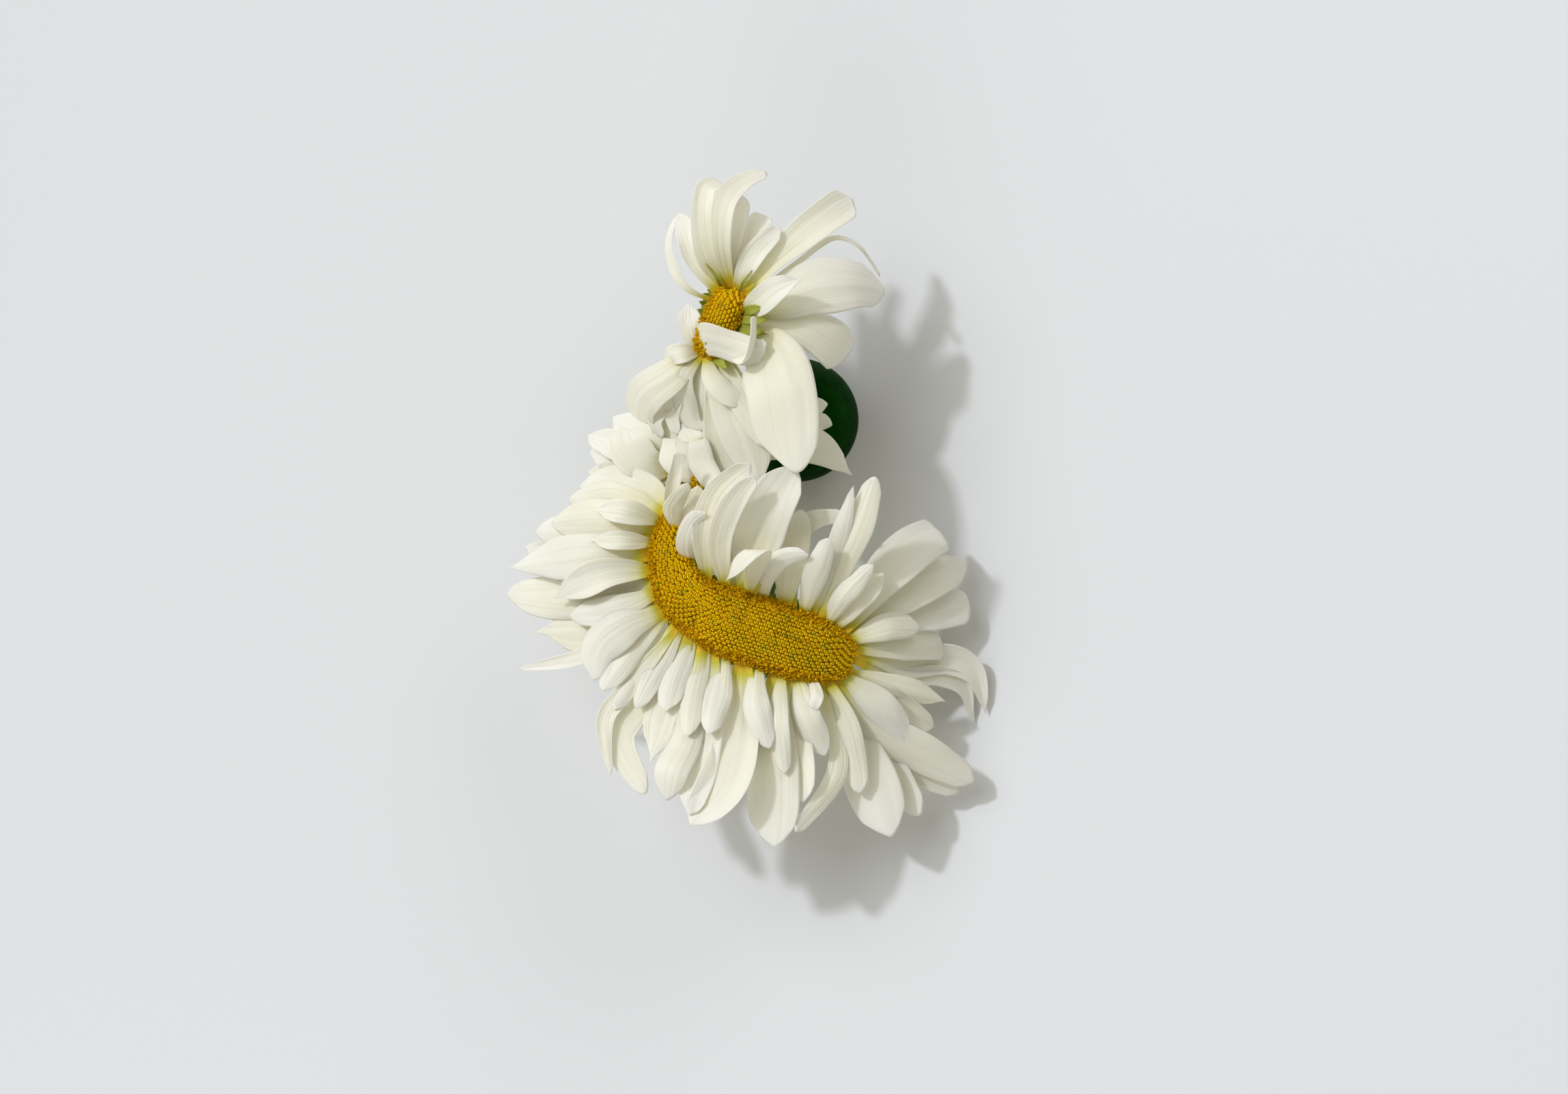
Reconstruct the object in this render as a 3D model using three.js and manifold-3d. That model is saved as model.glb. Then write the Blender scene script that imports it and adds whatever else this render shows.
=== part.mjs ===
// A bunch of three crested daisies standing in a small round vase.
// Millimetres, +Z up, with the origin at the middle of the vase's foot.

import * as THREE from 'three';
import { mergeVertices } from 'three/addons/utils/BufferGeometryUtils.js';
import Module from 'manifold-3d';

const wasm = await Module();
wasm.setup();

// ---------------------------------------------------------------- vase sizes
const VASE_HEIGHT = 44;
const BELLY_RADIUS = 18.3;
const BELLY_HEIGHT = 19;
const FOOT_RADIUS = 13;
const MOUTH_RADIUS = 5.8;
const VASE_WALL = 2.6;
const LIP_WALL = 1.6;
const LIP_ROUND = 1;
const VASE_FLOOR = 7;

// -------------------------------------------------------------- flower sizes
const FRONT_DISC_HALF_WIDTH = 9.6;
const FRONT_DISC_TAPER = 0.45;
const BACK_DISC_HALF_WIDTH = 4.8;
const LEFT_DISC_HALF_WIDTH = 5;
const DISC_RISE = 4.5;
const DISC_THICKNESS = 1.6;
const BRACT_DEPTH = 6;
const STEM_RADIUS = 1.5;
const RIBBON_STEM_WIDTH = 5;
const RIBBON_STEM_THICKNESS = 2.4;
const STEM_SPACE = 0.5;
const PETAL_THICKNESS = 0.9;
const PETAL_EDGE = 0.25;
const PETAL_CUP = 0.9;
const PETAL_BASE_SHARE = 0.34;
const PETAL_WIDEST = 0.62;

// The gap between pieces that touch.
const GAP = 0.3;

// How finely the solids are stepped.
const VASE_SIDES = 32;
const VASE_STEPS = 9;
const RIM_STEPS = 120;
const DISC_STATIONS = 12;
const DISC_ACROSS = 6;
const PETAL_STATIONS = 6;
const STEM_STEPS = 14;
const STEM_SECTION_SIDES = 8;

// ------------------------------------------------------------------ finishes
const finish = (color, roughness) => new THREE.MeshStandardMaterial({ color, roughness, metalness: 0 });
const GLAZE = finish(0x123b2c, 0.3);
const STEM_GREEN = finish(0x6d8c3a, 0.6);
const BRACT_GREEN = finish(0x7f8f35, 0.7);
const DISC_YELLOW = finish(0xd8a514, 0.85);
const PETAL_WHITE = finish(0xefece0, 0.6);

// -------------------------------------------------------------- solid making

/** A closed solid through rings of points, drawn together to one point at each end. */
function loft(start, rings, end) {
  const around = rings[0].length;
  const points = [start, ...rings.flat(), end];
  const last = points.length - 1;
  const corner = (ring, side) => 1 + ring * around + (side % around);
  const faces = [];
  for (let side = 0; side < around; side += 1) {
    faces.push(0, corner(0, side + 1), corner(0, side));
    faces.push(last, corner(rings.length - 1, side), corner(rings.length - 1, side + 1));
    for (let ring = 0; ring < rings.length - 1; ring += 1) {
      faces.push(corner(ring, side), corner(ring, side + 1), corner(ring + 1, side));
      faces.push(corner(ring, side + 1), corner(ring + 1, side + 1), corner(ring + 1, side));
    }
  }
  const geometry = new THREE.BufferGeometry().setFromPoints(points);
  geometry.setIndex(faces);
  return geometry;
}

/** The geometry as a solid that can be cut, with its faces turned outward. */
function solidFrom(source) {
  const geometry = source.clone();
  geometry.deleteAttribute('normal');
  geometry.deleteAttribute('uv');
  const merged = mergeVertices(geometry, 1e-4);
  const vertProperties = Float32Array.from(merged.attributes.position.array);
  const triVerts = Uint32Array.from(merged.index.array);
  const solid = new wasm.Manifold(new wasm.Mesh({ numProp: 3, vertProperties, triVerts }));
  if (solid.volume() > 0) {
    return solid;
  }
  return new wasm.Manifold(new wasm.Mesh({ numProp: 3, vertProperties, triVerts: triVerts.reverse() }));
}

function geometryFrom(solid) {
  const mesh = solid.getMesh();
  const geometry = new THREE.BufferGeometry();
  geometry.setAttribute('position', new THREE.BufferAttribute(mesh.vertProperties, mesh.numProp));
  geometry.setIndex(new THREE.BufferAttribute(mesh.triVerts, 1));
  geometry.computeVertexNormals();
  return geometry;
}

/** The biggest of the bodies that a cut leaves. */
function mainBody(solid) {
  return solid.decompose().reduce((most, body) => (body.volume() > most.volume() ? body : most));
}

// Every solid placed so far, a little swollen, so that later pieces give way to it.
const placed = [];

/** The piece cut back from what is already there. make(0) is its true shape, make(GAP) the swollen one. */
function fitted(make) {
  let solid = solidFrom(make(0));
  for (const neighbour of placed) {
    solid = solid.subtract(neighbour);
  }
  placed.push(solidFrom(make(GAP)));
  return geometryFrom(mainBody(solid));
}

function piece(name, geometry, material, group) {
  const mesh = new THREE.Mesh(geometry.translate(...group.position.clone().negate().toArray()), material);
  mesh.name = name;
  group.add(mesh);
}

// ---------------------------------------------------------------------- vase

/** The vase's outer profile from its foot to its lip, as radius and height. */
function vaseCurve() {
  const neck = MOUTH_RADIUS + LIP_WALL;
  const shoulder = VASE_HEIGHT - (VASE_HEIGHT - BELLY_HEIGHT) / 4;
  return new THREE.SplineCurve([
    new THREE.Vector2(FOOT_RADIUS, 0),
    new THREE.Vector2((FOOT_RADIUS + 2 * BELLY_RADIUS) / 3, BELLY_HEIGHT / 3),
    new THREE.Vector2(BELLY_RADIUS, BELLY_HEIGHT),
    new THREE.Vector2((neck + BELLY_RADIUS) / 2, shoulder),
    new THREE.Vector2(neck, VASE_HEIGHT - LIP_ROUND),
  ]);
}

function vaseGeometry(swell) {
  const outside = vaseCurve().getPoints(VASE_STEPS);
  const hollow = outside.filter((point) => point.y > VASE_FLOOR + swell && point.y < VASE_HEIGHT - LIP_ROUND);
  const wallAt = (height) => THREE.MathUtils.lerp(VASE_WALL, LIP_WALL, height / VASE_HEIGHT) + swell;
  const profile = [
    new THREE.Vector2(0, 0),
    ...outside.map((point) => new THREE.Vector2(point.x + swell, point.y)),
    new THREE.Vector2(MOUTH_RADIUS + LIP_WALL / 2, VASE_HEIGHT + swell),
    new THREE.Vector2(MOUTH_RADIUS - swell, VASE_HEIGHT - LIP_ROUND),
    ...hollow.reverse().map((point) => new THREE.Vector2(point.x - wallAt(point.y), point.y)),
    new THREE.Vector2(FOOT_RADIUS - wallAt(VASE_FLOOR), VASE_FLOOR + swell),
    new THREE.Vector2(0, VASE_FLOOR + swell),
  ];
  return new THREE.LatheGeometry(profile, VASE_SIDES).rotateX(Math.PI / 2);
}

// --------------------------------------------------------------- flower disc

// A higher number makes the ends of a disc squarer.
const END_SHARPNESS = 5;

/** A point x, y across the ground and z above the vase's mouth. */
const above = (x, y, z) => new THREE.Vector3(x, y, z + VASE_HEIGHT);

/** The middle line of a crested disc, with how wide it is on the way. */
class Crest {
  constructor(points, halfWidth, taper = 1) {
    this.line = new THREE.CatmullRomCurve3(points.map((point) => above(...point)));
    this.halfWidth = halfWidth;
    this.taper = taper;
  }

  widthAt(share) {
    const round = Math.sqrt(1 - Math.abs(2 * share - 1) ** END_SHARPNESS);
    return this.halfWidth * round * THREE.MathUtils.lerp(this.taper, 1, Math.min(1, 2 * share));
  }

  /** The level direction across the crest. */
  acrossAt(share) {
    const along = this.line.getTangentAt(share);
    return new THREE.Vector3(-along.y, along.x, 0).normalize();
  }

  /** The point on the rim nearest to x, y. */
  rimNear([x, y]) {
    let best = null;
    for (let step = 0; step <= RIM_STEPS; step += 1) {
      const share = step / RIM_STEPS;
      for (const side of [-1, 1]) {
        const offset = this.acrossAt(share).multiplyScalar(side * this.widthAt(share));
        const point = this.line.getPointAt(share).add(offset);
        const distance = Math.hypot(point.x - x, point.y - y);
        if (best === null || distance < best.distance) {
          best = { distance, point };
        }
      }
    }
    return best.point;
  }

  /** A solid along the crest, between an upper and a lower height that depend on how far across it is. */
  solid(upper, lower, swell) {
    const rings = [];
    for (let station = 1; station < DISC_STATIONS; station += 1) {
      const share = (1 - Math.cos((Math.PI * station) / DISC_STATIONS)) / 2;
      const width = this.widthAt(share);
      const fullness = width / this.halfWidth;
      const point = (across, height) => this.line.getPointAt(share)
        .addScaledVector(this.acrossAt(share), across * (width + swell))
        .add(new THREE.Vector3(0, 0, height * fullness));
      const ring = [];
      for (let step = 0; step <= DISC_ACROSS; step += 1) {
        const across = (2 * step) / DISC_ACROSS - 1;
        ring.push(point(across, upper(across) + swell));
      }
      for (let step = DISC_ACROSS; step >= 0; step -= 1) {
        const across = (2 * step) / DISC_ACROSS - 1;
        ring.push(point(across, lower(across) - swell));
      }
      rings.push(ring);
    }
    const reach = this.line.getTangentAt(0).multiplyScalar(-swell);
    const start = this.line.getPointAt(0).add(reach);
    const end = this.line.getPointAt(1).sub(reach);
    return loft(start, rings, end);
  }

  disc(swell) {
    const upper = (across) => DISC_RISE * (1 - across ** 2) + DISC_THICKNESS / 2;
    const lower = () => -DISC_THICKNESS / 2;
    return this.solid(upper, lower, swell);
  }

  bracts(swell) {
    const upper = () => -DISC_THICKNESS / 2 - 2 * GAP;
    const lower = (across) => -DISC_THICKNESS - 2 * GAP - BRACT_DEPTH * (1 - across ** 2);
    return this.solid(upper, lower, swell);
  }
}

// -------------------------------------------------------------------- petals

/** How wide a petal is on its way from root to tip, as a share of its full width. */
function petalWidth(share) {
  if (share < PETAL_WIDEST) {
    const ease = Math.sin((Math.PI / 2) * (share / PETAL_WIDEST));
    return THREE.MathUtils.lerp(PETAL_BASE_SHARE, 1, ease);
  }
  const beyond = (share - PETAL_WIDEST) / (1 - PETAL_WIDEST);
  return Math.sqrt(1 - beyond ** 2.4);
}

/** A thin cupped petal along a curve. */
function petalGeometry(curve, width, swell) {
  const rings = [];
  const first = curve.getTangentAt(0);
  const side = new THREE.Vector3(first.y, -first.x, 0);
  for (let station = 0; station < PETAL_STATIONS; station += 1) {
    const share = station / (PETAL_STATIONS - 0.5);
    const along = curve.getTangentAt(share);
    side.addScaledVector(along, -side.dot(along)).normalize();
    const up = new THREE.Vector3().crossVectors(side, along);
    const half = (petalWidth(share) * width) / 2 + swell;
    const centre = curve.getPointAt(share);
    const at = (across, height) => centre.clone()
      .addScaledVector(side, across * half)
      .addScaledVector(up, height);
    const middle = PETAL_THICKNESS / 2 + swell;
    const edge = PETAL_EDGE / 2 + swell;
    rings.push([
      at(-1, edge),
      at(0, middle - PETAL_CUP),
      at(1, edge),
      at(1, -edge),
      at(0, -middle - PETAL_CUP),
      at(-1, -edge),
    ]);
  }
  const middleOf = (ring) => new THREE.Vector3().addVectors(ring[1], ring[4]).divideScalar(2);
  const start = middleOf(rings[0]).addScaledVector(first, -GAP / 2 - swell);
  const end = curve.getPointAt(1).addScaledVector(curve.getTangentAt(1), swell);
  return loft(start, rings, end);
}

/** A petal from the rim near a root, by way of points above the mouth, the last of which is its tip. */
function petal(crest, root, way, width) {
  const base = crest.rimNear(root);
  const next = above(...way[0]);
  base.addScaledVector(new THREE.Vector3().subVectors(next, base).normalize(), 2 * GAP);
  const curve = new THREE.CatmullRomCurve3([base, ...way.map((point) => above(...point))]);
  return fitted((swell) => petalGeometry(curve, width, swell));
}

// --------------------------------------------------------------------- stems

/** A stem of oval section along points above the mouth. */
function stemGeometry(way, width, thickness, swell) {
  const section = new THREE.Shape();
  section.absellipse(0, 0, thickness / 2 + swell, width / 2 + swell, 0, 2 * Math.PI, false, 0);
  const path = new THREE.CatmullRomCurve3(way.map((point) => above(...point)));
  return new THREE.ExtrudeGeometry(section, {
    steps: STEM_STEPS,
    curveSegments: STEM_SECTION_SIDES,
    bevelEnabled: false,
    extrudePath: path,
  });
}

// ------------------------------------------------------------------- flowers
// Heights are above the vase's mouth. Each petal gives a place near its root on the rim, the
// points on its way with its tip last, and its width.

const FRONT = {
  name: 'front_head',
  crest: new Crest([
    [-37, -28, 10], [-37.5, -40, 9], [-33, -52, 7], [-22, -59, 4],
    [-9, -63.5, 0], [4, -68, -5], [17, -71.5, -9],
  ], FRONT_DISC_HALF_WIDTH, FRONT_DISC_TAPER),
  petals: [
    { root: [-30, -43], way: [[-31.5, -35, 15], [-27, -28.5, 20]], width: 6 },
    { root: [-25, -46], way: [[-27, -34, 16], [-23, -22, 20], [-13.5, -13.5, 21]], width: 6.5 },
    { root: [-20, -48], way: [[-22.5, -36, 17], [-19, -26, 23], [-12.5, -17, 27]], width: 6.5 },
    { root: [-14, -51], way: [[-12, -36, 12], [-7.5, -25, 17], [-0.5, -14.5, 17]], width: 12 },
    { root: [-9.5, -53], way: [[-8.5, -46, 8], [-4, -41.5, 12], [3.5, -40.3, 13]], width: 5.5 },
    { root: [2.5, -56], way: [[5.5, -46, 8], [9.5, -35.5, 15]], width: 6.5 },
    { root: [7, -58], way: [[13, -43, 5], [18, -32, 10], [23, -17.5, 13]], width: 8 },
    { root: [13.5, -61], way: [[25, -47, -9], [34, -39, -14], [42.5, -34, -25]], width: 9.5 },
    { root: [15, -62], way: [[28, -54, -14], [40, -47.5, -23], [50.5, -43, -34]], width: 9 },
    { root: [16, -63], way: [[32, -58, -20], [52, -55.5, -35]], width: 9.5 },
    { root: [17, -67], way: [[31, -67, -18], [44, -67.5, -30]], width: 8 },
    { root: [17, -70], way: [[33, -72.5, -23], [47, -71.5, -34], [57, -88, -42]], width: 6 },
    { root: [17, -73], way: [[30, -77.5, -22], [44, -78.5, -33], [53, -91, -42]], width: 5 },
    { root: [15, -76.5], way: [[30, -79.5, -17], [44.5, -84, -28]], width: 6 },
    { root: [13, -78], way: [[24, -85, -13], [33, -95.5, -21]], width: 9 },
    { root: [10, -78.5], way: [[20, -89, -14], [38, -100, -24], [53.5, -108.5, -34]], width: 9.5 },
    { root: [7, -78], way: [[18, -98, -17], [28.5, -123.5, -21]], width: 12 },
    { root: [3.5, -77.5], way: [[11.5, -92, -9], [12, -105, -12], [-0.5, -121.5, -3]], width: 5.5 },
    { root: [-0.5, -76], way: [[3, -88, -1], [8.5, -99.5, -6]], width: 8 },
    { root: [-6, -74.5], way: [[-7, -98, -2], [-6.5, -126, -5]], width: 11 },
    { root: [-12, -72.5], way: [[-12, -84, 4], [-8.5, -97, 4]], width: 8 },
    { root: [-16, -71], way: [[-17, -90, 1], [-21, -106, 8], [-30, -119, 12]], width: 12 },
    { root: [-21, -69], way: [[-22.5, -80, 5], [-26, -92, 9]], width: 7.5 },
    { root: [-26, -67], way: [[-29.5, -79, 5], [-32, -93, 9]], width: 6.5 },
    { root: [-30.5, -64.5], way: [[-35, -74, 5], [-38.5, -85, 7]], width: 7.5 },
    { root: [-33, -63], way: [[-38, -84, 4], [-43, -100, 7]], width: 9 },
    { root: [-36, -61], way: [[-45, -72, 4], [-55, -85, 7]], width: 7 },
    { root: [-39, -57], way: [[-50, -61, 10], [-58, -68, 8], [-59, -77, 6]], width: 9 },
    { root: [-41, -53], way: [[-57, -62, 2], [-77, -63, -4]], width: 9 },
    { root: [-42, -49], way: [[-60, -53, 3], [-85.5, -52, -5]], width: 8.5 },
    { root: [-42.5, -45], way: [[-56, -46.5, 12], [-71.5, -53, 5]], width: 7 },
    { root: [-42.5, -40], way: [[-58, -39.8, 12], [-84, -45, -2]], width: 9 },
    { root: [-41, -32], way: [[-54, -29.5, 12], [-72, -31, 2]], width: 8.5 },
  ],
};

const BACK = {
  name: 'back_head',
  crest: new Crest([[-19, 37, 17], [-21.5, 30, 17], [-25, 22, 15], [-26.5, 18, 14]], BACK_DISC_HALF_WIDTH),
  petals: [
    { root: [-24, 37], way: [[-29, 45, 21], [-33.5, 59.5, 17]], width: 5.5 },
    { root: [-21, 38], way: [[-26, 50, 26], [-24, 67.5, 20]], width: 6 },
    { root: [-19, 38], way: [[-20, 52, 27], [-17, 65, 24], [-9, 71.5, 16]], width: 6 },
    { root: [-17, 37], way: [[-14, 43, 20], [-5.5, 55, 16]], width: 6 },
    { root: [-15, 34], way: [[-4, 45, 16], [6, 56, 8], [16, 63.5, -4]], width: 9 },
    { root: [-15, 31], way: [[0, 36, 14], [12, 40, 9], [26, 38.5, -4]], width: 10 },
    { root: [-16, 29], way: [[-8, 34.5, 24], [1.5, 40.5, 26]], width: 6 },
    { root: [-17, 26], way: [[-3, 26.5, 16], [6, 24.5, 12], [14.5, 18.5, 2]], width: 9.5 },
    { root: [-19, 23], way: [[-8, 14, 20], [-4, -1, 22], [1, -16, 22]], width: 13 },
    { root: [-21, 18], way: [[-17.5, 4, 13], [-13, -12, 11], [-8, -26, 8]], width: 11 },
    { root: [-28, 15], way: [[-28.5, 5, 10], [-27, -5, 4]], width: 5 },
    { root: [-31, 18], way: [[-38, 13, 15], [-46, 7, 10], [-46, -4, -2]], width: 8 },
  ],
};

const LEFT = {
  name: 'left_head',
  crest: new Crest([[-33, -9, 2], [-31, -16, 2], [-28.5, -23, 1]], LEFT_DISC_HALF_WIDTH),
  petals: [
    { root: [-37, -12], way: [[-45, -5, 4], [-54, 0, -1]], width: 8 },
    { root: [-37, -15], way: [[-44, -16, 6], [-55, -8, 3]], width: 8 },
    { root: [-36, -19], way: [[-48, -18, 1], [-61.5, -15.5, -5]], width: 6 },
    { root: [-26, -13], way: [[-8, -7.5, 4], [5, -9.5, 7], [16.5, -17, 3]], width: 8 },
    { root: [-28, -9], way: [[-14, -1, 3], [2, 2.5, 6], [11, 3.5, 5]], width: 6 },
  ],
};

const FLOWERS = [FRONT, BACK, LEFT];

/** Where a stem of this radius stands in the mouth, towards an angle in degrees. */
function inMouth(angle, radius, height) {
  const out = MOUTH_RADIUS - radius - STEM_SPACE;
  const turn = THREE.MathUtils.degToRad(angle);
  return [out * Math.cos(turn), out * Math.sin(turn), height];
}

const STEM_FOOT = VASE_FLOOR + 2 * GAP - VASE_HEIGHT;
const roundStem = { width: 2 * STEM_RADIUS, thickness: 2 * STEM_RADIUS };
const STEMS = {
  front_head: {
    width: RIBBON_STEM_WIDTH,
    thickness: RIBBON_STEM_THICKNESS,
    way: [
      [-2, -9, STEM_FOOT + 2],
      inMouth(-78, RIBBON_STEM_THICKNESS / 2, -6),
      inMouth(-78, RIBBON_STEM_THICKNESS / 2, 1),
      [-3, -20, 2],
      [-7, -42, -6],
      [-12, -62, -9],
    ],
  },
  back_head: {
    ...roundStem,
    way: [
      [-8, 6, STEM_FOOT + 2],
      inMouth(138, STEM_RADIUS, -6),
      inMouth(138, STEM_RADIUS, 1),
      [-13, 16, 6],
      [-22, 27, 7],
    ],
  },
  left_head: {
    ...roundStem,
    way: [
      [-9, -4, STEM_FOOT + 2],
      inMouth(203, STEM_RADIUS, -6),
      inMouth(203, STEM_RADIUS, 1),
      [-18, -11, 0],
      [-30, -16, -5],
    ],
  },
};

// ------------------------------------------------------------------ assembly

const bunch = new THREE.Group();
bunch.name = 'bunch_of_daisies';
piece('vase', fitted(vaseGeometry), GLAZE, bunch);

for (const flower of FLOWERS) {
  const head = new THREE.Group();
  head.position.copy(flower.crest.line.getPointAt(0.5));
  bunch.add(head);
  flower.group = head;
  piece(`${flower.name}_disc`, fitted((swell) => flower.crest.disc(swell)), DISC_YELLOW, head);
  piece(`${flower.name}_bracts`, fitted((swell) => flower.crest.bracts(swell)), BRACT_GREEN, head);
}

for (const flower of FLOWERS) {
  const { way, width, thickness } = STEMS[flower.name];
  const stem = fitted((swell) => stemGeometry(way, width, thickness, swell));
  piece(`${flower.name}_stem`, stem, STEM_GREEN, bunch);
}

for (const { name, crest, petals, group } of FLOWERS) {
  petals.forEach(({ root, way, width }, index) => {
    const number = String(index + 1).padStart(2, '0');
    piece(`${name}_petal_${number}`, petal(crest, root, way, width), PETAL_WHITE, group);
  });
}

export default bunch;
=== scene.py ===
"""Crested Shasta daisies in a small round vase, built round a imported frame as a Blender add-on."""

import math
import random

import bpy
import numpy as np
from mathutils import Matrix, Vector


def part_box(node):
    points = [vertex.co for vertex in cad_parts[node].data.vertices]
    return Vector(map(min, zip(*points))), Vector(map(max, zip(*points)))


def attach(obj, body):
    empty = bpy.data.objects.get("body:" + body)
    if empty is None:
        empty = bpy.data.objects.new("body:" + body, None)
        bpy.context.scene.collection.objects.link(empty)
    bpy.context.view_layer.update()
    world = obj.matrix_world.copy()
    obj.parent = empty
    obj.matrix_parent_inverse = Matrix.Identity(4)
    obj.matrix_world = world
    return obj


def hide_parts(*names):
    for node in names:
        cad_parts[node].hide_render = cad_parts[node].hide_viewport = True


bl_info = {
    "name": "Crested Daisy Bunch",
    "version": (1, 0, 0),
    "blender": (4, 5, 0),
    "location": "View3D > Sidebar > Daisies",
    "description": "Makes a bunch of crested daisies in a small glazed vase",
    "category": "Add Mesh",
}

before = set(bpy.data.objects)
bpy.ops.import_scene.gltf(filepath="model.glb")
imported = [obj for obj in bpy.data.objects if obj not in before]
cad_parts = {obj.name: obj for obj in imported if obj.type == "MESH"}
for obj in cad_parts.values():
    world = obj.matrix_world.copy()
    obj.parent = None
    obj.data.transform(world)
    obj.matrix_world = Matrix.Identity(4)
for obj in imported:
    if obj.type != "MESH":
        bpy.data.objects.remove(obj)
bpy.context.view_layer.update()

MM = 0.001
_, VASE_HIGH = (Vector(corner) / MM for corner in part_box("vase"))
MOUTH_HEIGHT = VASE_HIGH.z
BODY = "root"


# ---- settings

def measure(name, description, default, low=0.5):
    description = f"{description}, in millimetres"
    return bpy.props.FloatProperty(name=name, description=description, default=default, min=low)


def amount(name, description, default, low=0, high=1000):
    return bpy.props.FloatProperty(name=name, description=description, default=default, min=low, max=high)


def tint(name, description, default, high=1):
    return bpy.props.FloatVectorProperty(name=name, description=description, default=default, subtype="COLOR",
                                         size=3, min=0, max=high)


class VaseSettings(bpy.types.PropertyGroup):
    belly_radius: measure("Belly radius", "Radius at the widest part of the vase", VASE_HIGH.x, 5)
    belly_height: measure("Belly height", "Height of the widest part", 19, 2)
    foot_radius: measure("Foot radius", "Radius of the flat foot", 13, 2)
    mouth_radius: measure("Mouth radius", "Inner radius of the mouth", 5.8, 1)
    wall: measure("Wall", "Thickness of the wall at the belly", 2.6)
    lip_wall: measure("Lip wall", "Thickness of the lip", 1.6)
    floor_thickness: measure("Floor", "Thickness of the floor of the vase", 7, 1)
    glaze: tint("Glaze", "Colour of the glaze", (0.0025, 0.028, 0.0015))


class RaySettings(bpy.types.PropertyGroup):
    thickness: measure("Thickness", "Thickness of a ray in its middle", 0.34, 0.05)
    groove: measure("Groove", "Depth of the long grooves of a ray 10 mm broad", 0.11, 0)
    breadth: amount("Breadth", "Breadth of every ray, as a share of its own", 1.04, 0.1)
    cream: tint("Cream", "Colour of the blade of a ray", (0.93, 0.91, 0.805))
    base: tint("Base", "Yellow-green colour where a ray leaves the disc", (0.60, 0.56, 0.04))


class DiscSettings(bpy.types.PropertyGroup):
    floret_length: measure("Floret length", "Length of a closed floret along its row", 1.5, 0.4)
    row_width: measure("Row width", "Distance between rows of florets", 1.05, 0.4)
    rise: measure("Rise", "Height of the dome over the rim", 4.5)
    fold: measure("Fold", "Depth of the folds where lobes of a crest meet", 1.3, 0)
    open_band: amount("Open band", "Band of open florets, as a share of the half width", 0.22, 0, 0.8)
    gold: tint("Gold", "Colour of the closed florets", (0.97, 0.65, 0.004))
    olive: tint("Olive", "Colour of the youngest florets", (0.60, 0.42, 0.005))


class GreenSettings(bpy.types.PropertyGroup):
    bract: tint("Bract", "Colour of the bracts", (0.36, 0.40, 0.03))
    stem: tint("Stem", "Colour of the stems", (0.14, 0.24, 0.04))
    bract_length: measure("Bract length", "Length of a rim bract", 5.5, 1)


class StageSettings(bpy.types.PropertyGroup):
    camera_height: bpy.props.FloatProperty(
        name="Camera height", description="Height of the camera over the floor", default=1.8, unit="LENGTH")
    view_width: measure("View width", "Width that the view takes in at the height of the heads", 459.2, 10)
    key_strength: amount("Key strength", "Strength of the distant light that throws the crisp shadows", 1.15)
    soft_strength: amount("Soft strength", "Strength of the wide soft light behind the key", 0.92)
    near_power: amount("Near power", "Power of the weak light from the near side", 2.2)
    far_power: amount("Far power", "Power of the weak light from the far side", 3.0)
    all_round: amount("All round", "Strength of the light from all round", 0.29)
    cool: tint("Cool", "Colour of the key and the soft light", (0.98, 1.005, 1.09), 2)
    warm: tint("Warm", "Colour of the light from all round", (1.0, 0.97, 0.82))
    floor: tint("Floor", "Colour of the floor", (0.80, 0.81, 0.82))


# ---- curves

SPAN_STEPS = 24
SHORTEST = 1e-6
TINY = 1e-9


def above(point):
    """A point x, y across the ground and z over the vase's mouth, in the frame's own millimetres."""
    return np.array([point[0], point[1], point[2] + MOUTH_HEIGHT], float)


def between(t, low, high, first, second):
    return (high - t) / (high - low) * first + (t - low) / (high - low) * second


def smooth_line(points, samples):
    """Evenly spaced points on a centripetal spline through the given points."""
    points = np.asarray(points, float)
    ends = np.vstack([2 * points[0] - points[1], points, 2 * points[-1] - points[-2]])
    spans = []
    for index in range(len(points) - 1):
        corners = ends[index:index + 4]
        knots = [0.0]
        for a, b in zip(corners, corners[1:]):
            knots.append(knots[-1] + max(SHORTEST, np.linalg.norm(b - a)) ** 0.5)
        k0, k1, k2, k3 = knots
        t = np.linspace(k1, k2, SPAN_STEPS, endpoint=index == len(points) - 2)[:, None]
        a1, a2, a3 = (between(t, knots[i], knots[i + 1], corners[i], corners[i + 1]) for i in range(3))
        spans.append(between(t, k1, k2, between(t, k0, k2, a1, a2), between(t, k1, k3, a2, a3)))
    line = np.vstack(spans)
    lengths = np.concatenate([[0], np.cumsum(np.linalg.norm(np.diff(line, axis=0), axis=1))])
    even = np.linspace(0, lengths[-1], samples)
    return np.stack([np.interp(even, lengths, line[:, axis]) for axis in range(3)], axis=1)


def unit(vectors):
    return vectors / np.maximum(TINY, np.linalg.norm(vectors, axis=-1, keepdims=True))


def lerp(low, high, share):
    return low + (high - low) * share


def smoothstep(low, high, value):
    share = np.clip((value - low) / (high - low), 0, 1)
    return share * share * (3 - 2 * share)


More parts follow.
